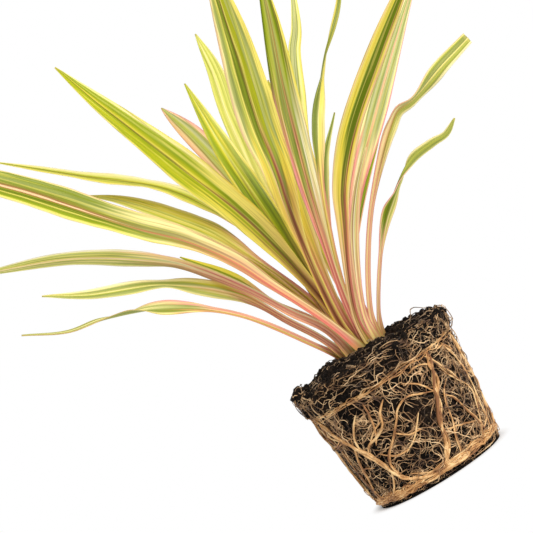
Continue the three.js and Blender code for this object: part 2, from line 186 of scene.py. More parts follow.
def newPiece(name, points, faces, material, slot=None, node=None):
    mesh = bpy.data.meshes.new(name)
    mesh.from_pydata(points, [], faces)
    mesh.polygons.foreach_set("use_smooth", [True] * len(faces))
    mesh.materials.append(material)
    return placed(name, mesh, slot, node)


def placed(name, mesh, slot=None, node=None):
    piece = bpy.data.objects.new(name, mesh)
    bpy.context.collection.objects.link(piece)
    if slot:
        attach(piece, "root")
    if node:
        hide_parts(node)
    return piece


# Camera, light and floor

studio = {
    "lean": 32,  # degrees that the plant leans to the left in the picture
    "cameraAt": (-27.9, -1300, 185.8),
    "lens": 125.4,
    "sky": 0.6,  # light from all round, while the camera sees plain white
    "key": {"at": (450, -950, 1150), "size": 600, "power": 13},
    "fill": {"at": (1000, -800, 300), "size": 900, "power": 5},
    "lampsFace": (0, 0, 180),
    "floorRadius": 9000,
    "floorCorners": 96,
    "floorFade": (46, 58),  # where the floor turns to plain white
}


def newCamera():
    camera = bpy.data.cameras.new("camera")
    camera.lens = studio["lens"]
    camera.sensor_width = 36
    camera.clip_start = 0.01
    camera.clip_end = 100
    holder = bpy.data.objects.new("camera", camera)
    holder.location = Vector(studio["cameraAt"]) * mm
    holder.rotation_euler = (math.radians(90), math.radians(studio["lean"]), 0)
    bpy.context.collection.objects.link(holder)
    bpy.context.scene.camera = holder


def newLamp(name):
    lamp = studio[name]
    light = bpy.data.lights.new(name, "AREA")
    light.shape = "DISK"
    light.size = lamp["size"] * mm
    light.energy = lamp["power"]
    holder = bpy.data.objects.new(name, light)
    holder.location = Vector(lamp["at"]) * mm
    towards = Vector(studio["lampsFace"]) - Vector(lamp["at"])
    holder.rotation_euler = towards.to_track_quat("-Z", "Y").to_euler()
    bpy.context.collection.objects.link(holder)


def newSky():
    world = bpy.data.worlds.new("sky")
    world.use_nodes = True
    background = world.node_tree.nodes["Background"]
    sheet = Sheet(world.node_tree)
    seen = sheet.add("ShaderNodeLightPath", None, None, output="Is Camera Ray")
    strength = seen * (1 - studio["sky"]) + studio["sky"]
    world.node_tree.links.new(strength.socket, background.inputs["Strength"])
    background.inputs["Color"].default_value = (1, 1, 1, 1)
    bpy.context.scene.world = world
    bpy.context.scene.view_settings.view_transform = "Standard"


def newFloor():
    count = studio["floorCorners"]
    radius = studio["floorRadius"] * mm
    turns = [k * math.tau / count for k in range(count)]
    points = [(0, 0, 0)] + [(radius * math.cos(turn), radius * math.sin(turn), 0) for turn in turns]
    faces = [(0, k + 1, (k + 1) % count + 1) for k in range(count)]
    material = bpy.data.materials.new("paleFloor")
    material.use_nodes = True
    tree = material.node_tree
    sheet = Sheet(tree)
    shader = tree.nodes["Principled BSDF"]
    shader.inputs["Base Color"].default_value = (0.92, 0.92, 0.92, 1)
    shader.inputs["Roughness"].default_value = 0.9
    distance = sheet.vector("LENGTH", {0: sheet.place()}, "Value")
    low, high = studio["floorFade"]
    glow = sheet.add("ShaderNodeEmission", None, {"Color": (1, 1, 1, 1), "Strength": 1.0})
    blended = sheet.add("ShaderNodeMixShader", None, {0: distance.step(low * mm, high * mm)})
    node = blended.socket.node
    tree.links.new(shader.outputs[0], node.inputs[1])
    tree.links.new(glow.socket, node.inputs[2])
    tree.links.new(blended.socket, tree.nodes["Material Output"].inputs["Surface"])
    newPiece("floor", points, faces, material)


newCamera()
newLamp("key")
newLamp("fill")
newSky()
newFloor()
print("camera, light and floor are in place")


# Leaf colours, named

paint = {
    "butter": tone(234, 216, 104), "lemon": tone(222, 206, 66), "gold": tone(228, 200, 60),
    "lime": tone(172, 174, 12), "grass": tone(138, 153, 4), "moss": tone(96, 111, 2),
    "olive": tone(126, 137, 22), "khaki": tone(146, 126, 46), "sage": tone(178, 180, 100),
    "mist": tone(140, 148, 72), "grey": tone(190, 188, 134), "cream": tone(242, 226, 152),
    "ivory": tone(244, 234, 194), "peach": tone(240, 200, 150), "salmon": tone(222, 156, 118),
    "pink": tone(234, 152, 144), "rose": tone(202, 110, 98), "brown": tone(152, 90, 58),
    "bark": tone(106, 60, 30), "tan": tone(198, 156, 90), "sheath": tone(180, 160, 62),
    "pale": tone(216, 212, 110), "fresh": tone(182, 184, 70), "deep": tone(98, 114, 0),
    "blush": tone(216, 120, 104),
}

# Stripes from the left margin, 0, to the right one, 1, seen from the front and looking from foot to tip
stalks = {
    "boldStalk": "0 peach, 0.08 tan, 0.24 peach, 0.4 khaki, 0.48 salmon, 0.54 brown, 0.62 bark, "
                 "0.68 brown, 0.76 blush, 0.86 rose, 0.94 salmon, 1 peach",
    "brownStalk": "0 gold, 0.16 tan, 0.34 brown, 0.56 bark, 0.7 brown, 0.86 tan, 1 butter",
    "creamStalk": "0 rose, 0.1 pink, 0.24 peach, 0.36 cream, 0.5 peach, 0.58 salmon, 0.68 pink, 0.8 cream, "
                  "0.9 pink, 1 rose",
    "leanStalk": "0 tan, 0.1 salmon, 0.22 pink, 0.34 peach, 0.42 rose, 0.48 pink, 0.6 peach, 0.74 blush, "
                 "0.8 pink, 0.88 cream, 0.95 ivory, 1 peach",
    "pinkStalk": "0 peach, 0.1 salmon, 0.2 blush, 0.34 rose, 0.44 pink, 0.54 salmon, 0.6 brown, 0.68 rose, "
                 "0.8 blush, 0.9 pink, 0.95 cream, 1 peach",
    "redStalk": "0 tan, 0.08 rose, 0.2 blush, 0.34 rose, 0.46 blush, 0.56 pink, 0.68 salmon, 0.78 peach, "
                "0.88 cream, 0.93 brown, 1 tan",
    "roseStalk": "0 pink, 0.14 blush, 0.26 rose, 0.32 brown, 0.38 pink, 0.52 salmon, 0.62 blush, "
                 "0.74 rose, 0.8 peach, 0.9 cream, 1 cream",
    "tanStalk": "0 rose, 0.12 salmon, 0.3 tan, 0.42 khaki, 0.55 peach, 0.7 salmon, 0.82 pink, 0.92 peach, "
                "1 rose",
    "yellowStalk": "0 peach, 0.2 tan, 0.36 sheath, 0.5 butter, 0.64 peach, 0.8 salmon, 0.92 pink, 1 rose",
}
blades = {
    "leaf_01": "0 tan, 0.14 sage, 0.3 mist, 0.45 sage, 0.6 cream, 0.75 mist, 0.86 sage, 1 peach",
    "leaf_02": "0 cream, 0.08 sage, 0.3 mist, 0.42 fresh, 0.48 cream, 0.54 sage, 0.7 mist, 0.82 cream, "
               "1 ivory",
    # leaf_03's blade is set in paler colours as painted light, to lift the shade on its downturned face
    "leaf_03": "0 ivory, 0.07 pale, 0.16 sage, 0.26 cream, 0.32 mist, 0.38 pale, 0.43 peach, 0.47 ivory, "
               "0.51 peach, 0.56 pale, 0.62 mist, 0.68 pale, 0.78 sage, 0.86 pale, 0.91 ivory, 1 ivory",
    "leaf_04": "0 lime, 0.4 grass, 0.5 moss, 0.58 lemon, 1 lemon",
    "leaf_05": "0 cream, 0.05 butter, 0.1 grass, 0.2 olive, 0.25 butter, 0.28 olive, 0.36 moss, "
               "0.42 olive, 0.46 brown, 0.48 peach, 0.51 peach, 0.53 brown, 0.56 khaki, 0.62 olive, "
               "0.72 mist, 0.84 olive, 0.9 mist, 0.94 olive, 0.97 cream, 1 peach",
    "leaf_06": "0 cream, 0.1 lemon, 0.2 fresh, 0.34 lime, 0.42 olive, 0.5 khaki, 0.56 lime, 0.68 pale, "
               "0.84 cream, 1 ivory",
    # leaf_07's stripes are set in paler, yellower colours as painted light, to lift the shade that leaf_08
    # casts on it
    "leaf_07": "0 cream, 0.08 pale, 0.15 fresh, 0.22 lemon, 0.3 pale, 0.38 butter, 0.46 fresh, 0.53 pale, "
               "0.6 lemon, 0.68 butter, 0.76 lemon, 0.84 butter, 1 cream",
    "leaf_08": "0 cream, 0.05 lemon, 0.09 grass, 0.12 lime, 0.3 lime, 0.36 grass, 0.4 lime, 0.46 moss, "
               "0.5 khaki, 0.53 lemon, 0.6 lime, 0.66 grass, 0.72 fresh, 0.8 grass, 0.86 fresh, 0.9 cream, "
               "1 butter",
    "leaf_09": "0 salmon, 0.2 peach, 0.28 khaki, 0.33 sage, 0.52 fresh, 0.62 grey, 0.74 mist, 0.82 peach, "
               "1 pink",
    "leaf_10": "0 lemon, 0.06 lime, 0.2 grass, 0.34 lime, 0.42 lemon, 0.46 pale, 0.52 pale, 0.55 lime, "
               "0.64 lemon, 0.72 lime, 0.84 fresh, 0.9 butter, 1 cream",
    "leaf_11": "0 pale, 0.2 fresh, 0.36 cream, 0.46 pale, 0.52 fresh, 0.66 pale, 0.84 fresh, 1 cream",
    "leaf_12": "0 peach, 0.07 cream, 0.1 sage, 0.18 mist, 0.26 fresh, 0.3 butter, 0.34 moss, 0.41 olive, "
               "0.46 moss, 0.49 bark, 0.505 khaki, 0.53 butter, 0.56 lime, 0.64 lime, 0.67 sage, "
               "0.74 fresh, 0.78 sage, 0.84 mist, 0.88 butter, 1 butter",
    "leaf_13": "0 butter, 0.2 gold, 0.5 gold, 0.62 butter, 0.8 gold, 1 butter",
    "leaf_14": "0 olive, 0.05 moss, 0.12 grass, 0.28 fresh, 0.33 mist, 0.4 khaki, 0.44 sage, 0.48 khaki, "
               "0.5 tan, 0.52 khaki, 0.56 sage, 0.64 fresh, 0.7 grass, 0.8 moss, 0.84 khaki, 0.88 moss, "
               "0.92 butter, 1 lemon",
    "leaf_15": "0 cream, 0.08 pale, 0.16 mist, 0.24 grey, 0.32 sage, 0.4 grey, 0.46 mist, 0.54 grey, "
               "0.62 mist, 0.68 pale, 0.76 cream, 0.88 butter, 1 butter",
    "leaf_16": "0 moss, 0.1 mist, 0.3 moss, 0.42 mist, 0.48 moss, 0.52 lemon, 0.8 butter, 1 cream",
    "leaf_17": "0 sage, 0.25 mist, 0.42 moss, 0.55 mist, 0.75 sage, 1 cream",
    "leaf_18": "0 gold, 0.05 peach, 0.11 butter, 0.26 gold, 0.33 lemon, 0.37 olive, 0.42 deep, 0.5 moss, "
               "0.56 deep, 0.72 deep, 0.75 tan, 0.78 brown, 0.81 olive, 0.85 gold, 0.95 peach, 1 tan",
    "leaf_19": "0 pink, 0.12 cream, 0.3 brown, 0.36 ivory, 0.6 cream, 0.72 salmon, 0.8 cream, 1 pink",
    "leaf_20": "0 ivory, 0.1 cream, 0.15 mist, 0.24 grey, 0.3 sage, 0.38 mist, 0.44 grey, 0.48 salmon, "
               "0.52 peach, 0.55 tan, 0.58 grey, 0.66 sage, 0.76 mist, 0.84 grey, 0.92 cream, 0.97 pink, "
               "1 pink",
    "leaf_21": "0 pink, 0.08 peach, 0.16 olive, 0.3 moss, 0.5 olive, 0.66 grass, 0.82 olive, 0.9 peach, "
               "1 pink",
    "leaf_22": "0 peach, 0.08 cream, 0.14 fresh, 0.24 mist, 0.34 sage, 0.44 mist, 0.48 cream, 0.54 butter, "
               "0.58 sage, 0.7 fresh, 0.8 mist, 0.85 cream, 1 ivory",
    "leaf_23": "0 cream, 0.08 sage, 0.2 mist, 0.4 fresh, 0.5 sage, 0.6 fresh, 0.74 sage, 0.88 cream, "
               "1 ivory",
    "leaf_24": "0 butter, 0.15 lime, 0.4 grass, 0.5 khaki, 0.56 lemon, 0.85 fresh, 1 cream",
    "leaf_25": "0 cream, 0.12 butter, 0.3 grass, 0.46 olive, 0.51 brown, 0.56 lime, 0.74 sage, "
               "0.84 butter, 1 cream",
    "leaf_26": "0 cream, 0.1 mist, 0.3 moss, 0.46 olive, 0.5 salmon, 0.56 grass, 0.8 mist, 0.9 butter, "
               "1 cream",
    "leaf_27": "0 butter, 0.2 lime, 0.3 moss, 0.36 lemon, 0.47 lime, 0.52 khaki, 0.6 grass, 0.78 lime, "
               "0.86 butter, 1 gold",
    "leaf_28": "0 pink, 0.1 cream, 0.22 sage, 0.42 grey, 0.5 salmon, 0.58 sage, 0.8 mist, 0.9 cream, "
               "1 peach",
    "leaf_29": "0 cream, 0.14 olive, 0.4 moss, 0.5 butter, 0.62 olive, 0.84 fresh, 1 peach",
}
lowBlades = {  # the lower half of the blade, where it differs
    "leaf_01": "0 gold, 0.1 cream, 0.2 olive, 0.4 mist, 0.55 sage, 0.7 mist, 0.78 cream, 0.9 pink, 1 pink",
    "leaf_02": "0 cream, 0.12 sage, 0.24 fresh, 0.34 cream, 0.46 tan, 0.52 peach, 0.58 cream, 0.7 lime, "
               "0.78 lemon, 1 cream",
    # leaf_03's lower blade is also set in paler colours as painted light, against the same shade
    "leaf_03": "0 tan, 0.05 sage, 0.12 mist, 0.22 sage, 0.3 tan, 0.38 peach, 0.46 cream, 0.6 ivory, "
               "0.7 cream, 0.86 peach, 1 pink",
    "leaf_05": "0 butter, 0.1 cream, 0.16 sage, 0.24 olive, 0.36 mist, 0.42 rose, 0.46 khaki, 0.52 mist, "
               "0.62 mist, 0.67 cream, 0.92 cream, 1 peach",
    "leaf_08": "0 butter, 0.2 lemon, 0.25 olive, 0.29 lemon, 0.35 grass, 0.43 lime, 0.48 khaki, "
               "0.505 brown, 0.525 brown, 0.55 moss, 0.66 grass, 0.7 butter, 0.9 butter, 1 gold",
    "leaf_10": "0 lemon, 0.06 gold, 0.12 deep, 0.22 grass, 0.34 moss, 0.42 grass, 0.46 khaki, 0.52 lime, "
               "0.6 grass, 0.7 deep, 0.8 grass, 0.88 deep, 0.92 lemon, 1 butter",
    "leaf_12": "0 butter, 0.2 gold, 0.3 butter, 0.34 peach, 0.37 olive, 0.42 mist, 0.46 lime, 0.49 brown, "
               "0.53 brown, 0.56 salmon, 0.59 mist, 0.68 olive, 0.73 gold, 0.9 gold, 1 tan",
    "leaf_13": "0 peach, 0.2 gold, 0.5 gold, 0.8 butter, 1 peach",
    "leaf_14": "0 pink, 0.1 pink, 0.18 rose, 0.23 peach, 0.27 moss, 0.36 mist, 0.46 moss, 0.5 salmon, "
               "0.54 brown, 0.57 tan, 0.6 sage, 0.66 mist, 0.69 ivory, 0.8 cream, 0.93 ivory, 1 tan",
    "leaf_16": "0 mist, 0.15 moss, 0.42 mist, 0.5 cream, 0.6 butter, 1 peach",
    "leaf_18": "0 salmon, 0.05 peach, 0.13 butter, 0.3 gold, 0.48 lemon, 0.52 moss, 0.6 deep, 0.64 tan, "
               "0.67 bark, 0.74 brown, 0.79 bark, 0.83 gold, 0.93 butter, 1 peach",
    "leaf_20": "0 rose, 0.06 pink, 0.14 salmon, 0.26 ivory, 0.36 grey, 0.44 sage, 0.5 brown, 0.55 salmon, "
               "0.62 peach, 0.74 cream, 0.86 salmon, 0.94 rose, 1 pink",
    "leaf_21": "0 salmon, 0.12 peach, 0.2 moss, 0.5 olive, 0.8 moss, 0.88 pink, 1 rose",
    "leaf_22": "0 peach, 0.06 pink, 0.2 cream, 0.34 peach, 0.46 tan, 0.56 khaki, 0.6 olive, 0.68 sage, "
               "0.74 cream, 0.8 sage, 0.88 cream, 1 ivory",
    "leaf_23": "0 pink, 0.1 peach, 0.2 grass, 0.4 moss, 0.55 olive, 0.68 cream, 0.8 fresh, 0.9 cream, "
               "1 peach",
}
stalkOf = {"leaf_01": "tanStalk", "leaf_02": "leanStalk", "leaf_03": "leanStalk", "leaf_04": "tanStalk",
           "leaf_05": "redStalk", "leaf_06": "tanStalk", "leaf_07": "yellowStalk",
           "leaf_08": "brownStalk", "leaf_09": "yellowStalk", "leaf_10": "brownStalk",
           "leaf_11": "yellowStalk", "leaf_12": "brownStalk", "leaf_13": "roseStalk",
           "leaf_14": "roseStalk", "leaf_15": "yellowStalk", "leaf_18": "boldStalk",
           "leaf_19": "creamStalk", "leaf_20": "creamStalk", "leaf_21": "pinkStalk",
           "leaf_22": "creamStalk", "leaf_23": "creamStalk"}
bladeSwitch = {"leaf_03": (0.5, 0.62), "leaf_05": (0.48, 0.66), "leaf_08": (0.46, 0.64),
               "leaf_12": (0.44, 0.62), "leaf_18": (0.42, 0.55), "leaf_20": (0.44, 0.56),
               "leaf_22": (0.7, 0.8), "leaf_23": (0.66, 0.74)}


def stripesOf(text):  # places and colours, for a ramp
    stops = [stop.split() for stop in text.split(", ")]
    return [(float(place), paint[colour]) for place, colour in stops]


leafGrain = {  # the pair of a pattern is its size in millimetres, across and along the leaf
    "apart": 3.7,  # moves each leaf's noise away from the next one's
    "sway": (0.5, 60),  # of whole stripes: a share of the width, and millimetres
    "wander": 0.05,  # how far a stripe strays, as a share of the width
    "frayed": (0.8, 40),  # the same for a stripe's edges
    "fray": 0.022,
    "ragged": (1.6, 120),  # tongues in which the colours follow each other up the leaf
    "raggedReach": 0.3,
    "bladeFrom": (0.05, 0.8),  # where they do, from the stalk's end to the broadest place
    "thread": (1.3, 90),  # thin dark and pale lines
    "threadFade": (0.56, 0.68),  # values of the noise between which they come in
    "darkThread": 0.4,  # how strong they are
    "paleThread": 0.38,
    "vein": (0.5, 34),
    "veinShades": [(0.3, (0.76, 0.76, 0.68, 1)), (0.5, (1, 1, 0.98, 1)), (0.7, (1.08, 1.08, 1.06, 1))],
    "veinShare": 0.8,
    "rib": 0.06,  # half the width of the groove in the middle
    "cockle": (5, 16),  # shallow dents
    "foot": (4, 17),  # heights in which the green sheath at the foot fades
    "footShare": 0.55,
    "tip": 0.985,  # where the dry tan at the very tip begins
    "tipShare": 0.25,
    "rough": 0.42,
    "shine": 0.22,
}


def leafFinish(name, shape):
    own = int(name[-2:]) * leafGrain["apart"]
    toBroadest = [mix(shape["stalk"], shape["broadest"], share) for share in leafGrain["bladeFrom"]]
    switch = bladeSwitch.get(name, (shape["broadest"] * 0.9, shape["broadest"] * 1.3))

    def fill(sheet):
        share = sheet.add("ShaderNodeUVMap", {"uv_map": "blade"})
        size = sheet.add("ShaderNodeUVMap", {"uv_map": "grain"})
        across, along = sheet.part(share, 0), sheet.part(share, 1)
        side, run = sheet.part(size, 0), sheet.part(size, 1)

        def lines(key, shift, detail=1.0):  # noise drawn out along the leaf
            wide, far = leafGrain[key]
            return sheet.noise(sheet.point(side / wide, run / far, own + shift), 1.0, detail)
        wide, far = leafGrain["sway"]
        stray = sheet.noise(sheet.point(across / wide, run / far + own, own), 1.0) - 0.5
        fray = lines("frayed", 5, 2.0) - 0.5
        seat = across + stray * leafGrain["wander"] * 2 + fray * leafGrain["fray"] * 2

        def coloured(text):
            return sheet.ramp(seat, stripesOf(text))
        rise = along + (lines("ragged", 9) - 0.5) * leafGrain["raggedReach"]
        toBlade = rise.step(*toBroadest)
        stalk = coloured(stalks[stalkOf.get(name, "yellowStalk")])
        colour = sheet.blend(toBlade, stalk, coloured(lowBlades.get(name, blades[name])))
        colour = sheet.blend(rise.step(*switch), colour, coloured(blades[name]))

        pale = lines("thread", 2).step(*leafGrain["threadFade"]) * leafGrain["paleThread"]
        dark = lines("thread", 31).step(*leafGrain["threadFade"]) * leafGrain["darkThread"]
        darkPaint = sheet.blend(toBlade, paint["brown"], paint["olive"])
        colour = sheet.blend(pale, colour, paint["butter"])
        colour = sheet.blend(dark * (0.35 + toBlade * 0.65), colour, darkPaint)
        foot = (1 - run.step(*leafGrain["foot"])) * leafGrain["footShare"]
        colour = sheet.blend(foot, colour, paint["sheath"])
        colour = sheet.blend(along.step(leafGrain["tip"], 1.0) * leafGrain["tipShare"], colour, paint["tan"])

        veins = lines("vein", 7, 2.0)
        shade = sheet.ramp(veins, leafGrain["veinShades"])
        colour = sheet.blend(leafGrain["veinShare"], colour, shade, "MULTIPLY")
        middle = sheet.sum("ABSOLUTE", across - 0.5)
        groove = 1 - middle.step(0.0, leafGrain["rib"])
        height = veins + groove * 0.5 + lines("cockle", 12) * 1.5
        return {"Base Color": colour, "Roughness": leafGrain["rough"] + (veins - 0.5) * 0.3,
                "Normal": sheet.bump(height, 0.4, 0.0004), "Specular IOR Level": leafGrain["shine"]}
    return newFinish("striped_" + name, fill)


# Leaves, on the same routes as the solids, in millimetres

leafCut = {
    "rib": 1.2,  # thickness at the middle, and at the margins
    "edge": 0.5,
    "channel": 36,  # degrees that the sides rise on the stalk, and on the blade
    "fold": 15,
    "tip": 1.2,
    "waveLength": 75,
    "waveShift": 1.7,
    "ruffle": 0.16,  # of the small waves, as a share of the large ones
    "ruffleRate": 3.3,  # small waves to a large one
    "columns": 14,
    "row": 2.4,  # length of one row of faces
    "arch": 0.1,  # how far each half bellies, as a share of its width
    "flare": 2.4,  # extra width of the foot, and how far up it reaches
    "flareLength": 26,
}
leafFront = Vector((0.25, -1, 0.4)).normalized()
# Widths are in millimetres, stalk and broadest are shares of the length, and turn is the twist at the tip
leaves = {
    "leaf_01": {
        "width": 11, "stem": 4, "stalk": 0.42, "broadest": 0.57, "taper": 1.1, "wave": 0.5,
        "route": [(-14.5, -3, 99), (-26, -8, 117), (-61.5, -32, 167.2), (-97, -56, 196),
                  (-135.5, -82, 212.5), (-159, -98, 217.5), (-183, -120, 231)],
        "turns": [(0, 0), (0.58, 0), (0.69, 74), (0.8, 42), (1, 30)]},
    "leaf_02": {
        "width": 12.5, "stem": 5, "stalk": 0.26, "broadest": 0.47, "taper": 2.6, "wave": 0.8,
        "route": [(-13.2, -7.2, 99), (-22.8, -9.5, 123), (-35.3, -10.5, 144.5), (-54.5, -12.5, 177.5),
                  (-94, -32, 211.5), (-141, -59, 233.5), (-164, -75, 247.5)],
        "turns": [(0, 0), (0.48, 0), (0.62, 32), (0.73, 5), (1, 10)]},
    "leaf_03": {
        "width": 12, "stem": 6, "stalk": 0.32, "broadest": 0.64, "taper": 1.9, "wave": 1,
        "route": [(-10.6, -11.9, 99), (-16, -14, 125), (-31.5, -18, 149.5), (-47, -19, 176.5),
                  (-68.5, -18, 206), (-83.5, -20, 223), (-137, -24, 260), (-184.5, -28, 280),
                  (-204, -30, 287)],
        "turns": [(0, 0), (0.5, 10), (0.66, 0), (1, 0)]},
    "leaf_04": {
        "width": 7, "stem": 3.2, "stalk": 0.45, "broadest": 0.76, "taper": 1.6, "wave": 0.6, "turn": 20,
        "route": [(-11.5, 1, 99), (-16.5, 5, 130), (-36.5, 19, 160.5), (-49.5, 35, 187.5), (-78, 60, 225)]},
    "leaf_05": {
        "width": 23.5, "stem": 6, "stalk": 0.12, "broadest": 0.7, "taper": 3, "wave": 1.1, "turn": 10,
        "route": [(-2, -15, 99), (-13.5, -19, 132.5), (-32.8, -25.5, 174.5), (-44, -31, 199),
                  (-65.5, -41.5, 230), (-86.5, -52, 252.3), (-139, -81, 313), (-184, -110, 360)]},
    "leaf_06": {
        "width": 12, "stem": 4.8, "stalk": 0.2, "broadest": 0.55, "taper": 2.6, "wave": 1.1,
        "route": [(-7.5, 5, 99), (-10.5, 9, 136), (-13.5, 22, 178), (-28.5, 37, 219), (-58, 62, 270),
                  (-110.5, 95, 317), (-164.5, 130, 366)],
        "turns": [(0, 10), (0.5, 20), (1, 30)]},
    "leaf_07": {
        "width": 15.5, "stem": 4.8, "stalk": 0.34, "broadest": 0.66, "taper": 1.7, "wave": 1.2, "turn": 12,
        "route": [(-5, 9.5, 99), (-10.5, 14, 136), (-21.5, 25, 169.5), (-33, 37, 196.3), (-47, 51, 226),
                  (-64, 66, 249.5), (-95, 90, 286), (-114, 103, 302.5)]},
    "leaf_08": {
        "width": 26, "stem": 5.4, "stalk": 0.08, "broadest": 0.58, "taper": 1.7, "wave": 0.9, "turn": 6,
        "route": [(-6, -4.5, 99), (-7.5, -7, 143), (-22, -27, 217.2), (-44.5, -53, 280.4),
                  (-67, -81, 340.4), (-76, -95, 368)]},
    "leaf_09": {
        "width": 19.5, "stem": 4.8, "stalk": 0.18, "broadest": 0.72, "taper": 2.7, "wave": 1, "turn": 10,
        "route": [(1, 11, 99), (-5, 19, 142), (-11, 69, 227), (-22, 120, 295.5), (-32, 150, 334)]},
    "leaf_10": {
        "width": 19, "stem": 5, "stalk": 0.08, "broadest": 0.62, "taper": 1.6, "wave": 0.9, "turn": 5,
        "route": [(-4, 0.3, 99), (-6, 2, 144), (-8, 15, 207), (-9.5, 33, 272), (-8, 50, 330)]},
    "leaf_11": {
        "width": 16, "stem": 4.8, "stalk": 0.2, "broadest": 0.7, "taper": 2.4, "wave": 0.9, "turn": 8,
        "route": [(-1.5, 5.7, 99), (-4.5, 10.5, 141), (-1.5, 36, 214), (8.3, 73, 292.6),
                  (16.7, 93, 331.2), (19.8, 110, 364)]},
    "leaf_12": {
        "width": 27.7, "stem": 6, "stalk": 0.24, "broadest": 0.6, "taper": 2.2, "wave": 1, "turn": 4,
        "route": [(-4.3, -9.8, 99), (-6, -12.5, 127), (2.5, -38, 197), (12, -60, 239), (16.5, -74, 266),
                  (31, -111, 323), (42, -150, 373)]},
    "leaf_13": {
        "width": 12.5, "stem": 4.8, "stalk": 0.2, "broadest": 0.62, "taper": 2.2, "wave": 0.7, "turn": 0,
        "route": [(0.7, -3.8, 99), (-0.5, -2, 130), (10.5, 3, 196), (28.5, 11, 258), (40.5, 17, 291)]},
    "leaf_14": {
        "width": 18.5, "stem": 5, "stalk": 0.2, "broadest": 0.58, "taper": 2.2, "wave": 0.8, "turn": 4,
        "route": [(1.7, -9, 99), (4.5, -12, 132), (21, -33, 203), (38.5, -59, 263.5), (58.5, -89, 319.3),
                  (70, -110, 355)]},
    "leaf_15": {
        "width": 11, "stem": 4.6, "stalk": 0.2, "broadest": 0.62, "taper": 2.2, "wave": 1.6, "turn": 10,
        "route": [(3.8, 4.5, 99), (7.5, 9, 136), (34, 44, 214.5), (44, 64, 250), (63, 88, 288),
                  (76, 101, 312.5), (86.5, 113, 326.5), (107, 140, 365)]},
    "leaf_16": {
        "width": 9.5, "stem": 3.4, "stalk": 0.39, "broadest": 0.53, "taper": 1.5, "wave": 0.4,
        "route": [(5.8, -3.8, 99), (6, -1.5, 128), (28, 12, 196), (59, 29, 255), (85.5, 41, 289.5),
                  (117, 52, 320), (140.5, 72, 352)],
        "turns": [(0, 0), (0.55, 0), (0.68, 78), (0.84, 150), (1, 160)]},
    "leaf_17": {
        "width": 6.5, "stem": 3.4, "stalk": 0.45, "broadest": 0.72, "taper": 1, "wave": 0.3, "turn": 20,
        "route": [(6.5, 9, 99), (7, 13, 124.5), (16, 34, 164), (26.7, 53, 188), (51.2, 90, 229.5),
                  (78.5, 120, 258)]},
    "leaf_18": {
        "width": 14.3, "stem": 5, "stalk": 0.14, "broadest": 0.55, "taper": 3, "wave": 0.7, "turn": 5,
        "route": [(4, -14.5, 99), (5.5, -17.5, 123), (33, -39, 186.5), (42, -46, 203.2),
                  (66.5, -64, 232.6), (108.5, -93, 267.3), (156, -130, 302)]},
    "leaf_19": {
        "width": 7, "stem": 4.2, "stalk": 0.2, "broadest": 0.6, "taper": 1.4, "wave": 0.4, "turn": 15,
        "route": [(9.5, -12.5, 99), (12, -12.5, 122), (33, -20, 169), (54, -28, 199), (73, -34, 219)]},
    "leaf_20": {
        "width": 15.5, "stem": 6, "stalk": 0.24, "broadest": 0.62, "taper": 1.2, "wave": 0.9, "turn": 8,
        "route": [(8, -8, 99), (11, -6, 125), (46.3, 3, 188), (91, 14, 233), (140.5, 28, 277.5),
                  (180, 40, 311.5)]},
    "leaf_21": {
        "width": 5, "stem": 3.6, "stalk": 0.2, "broadest": 0.6, "taper": 1.4, "wave": 0.5, "turn": 15,
        "route": [(8.5, 5.3, 99), (11.5, 13, 126.5), (29, 38, 157.3), (50, 67, 182), (100.5, 130, 226.5)]},
    "leaf_22": {
        "width": 11.5, "stem": 3.8, "stalk": 0.4, "broadest": 0.8, "taper": 1.5, "end": 9, "wave": 0.4,
        "route": [(11.5, -4, 99), (16.7, -6, 120.5), (52.5, -19, 179), (95, -33, 222.3),
                  (104.2, -35.5, 228.8), (115.5, -39, 229.6), (136.5, -45, 235.8), (168, -55, 244)],
        "turns": [(0, 0), (0.6, 8), (0.765, 84), (0.92, 8), (1, 0)]},
    "leaf_23": {
        "width": 8.5, "stem": 2.8, "stalk": 0.33, "broadest": 0.55, "taper": 5, "wave": 0.4,
        "route": [(14, 0.5, 99), (21, -5, 116.5), (53.5, -28, 164.5), (80, -48, 188.5), (93, -55.5, 196),
                  (109, -66, 197.8), (119.5, -74.5, 197.8), (128.5, -80, 203)],
        "turns": [(0, 0), (0.5, 0), (0.64, 86), (0.79, 176), (1, 180)]},
    "leaf_24": {
        "width": 16, "stem": 5, "stalk": 0.12, "broadest": 0.58, "taper": 1.7, "wave": 1, "turn": 25,
        "route": [(-10.5, 11, 99), (-14, 20, 136), (-42, 68, 205.5), (-93, 135, 266), (-135, 190, 313)]},
    "leaf_25": {
        "width": 19, "stem": 5, "stalk": 0.1, "broadest": 0.55, "taper": 1.6, "wave": 1, "turn": 20,
        "route": [(-5, 15.5, 99), (-7, 29, 143), (-20, 117, 223), (-40, 210, 291)]},
    "leaf_26": {
        "width": 17, "stem": 5, "stalk": 0.1, "broadest": 0.55, "taper": 1.7, "wave": 1, "turn": -15,
        "route": [(1, 17, 99), (1, 26, 140), (2, 94, 208), (4, 165, 261), (12, 215, 294)]},
    "leaf_27": {
        "width": 18, "stem": 5, "stalk": 0.1, "broadest": 0.55, "taper": 1.6, "wave": 1, "turn": -20,
        "route": [(6.5, 15.5, 99), (8, 27, 133), (19, 92, 198), (40, 177, 267), (55, 240, 316)]},
    "leaf_28": {
        "width": 13, "stem": 4.6, "stalk": 0.14, "broadest": 0.58, "taper": 1.7, "wave": 0.9, "turn": -10,
        "route": [(11.8, 11.3, 99), (14.3, 26.5, 131), (37.5, 90, 181), (84, 163, 238), (127, 230, 275)]},
    "leaf_29": {
        "width": 11, "stem": 4.4, "stalk": 0.16, "broadest": 0.58, "taper": 1.6, "wave": 0.7, "turn": 10,
        "route": [(14, 6.5, 99), (15.5, 20, 130), (38, 68, 171), (76, 120, 214), (114, 172, 247)]},
}


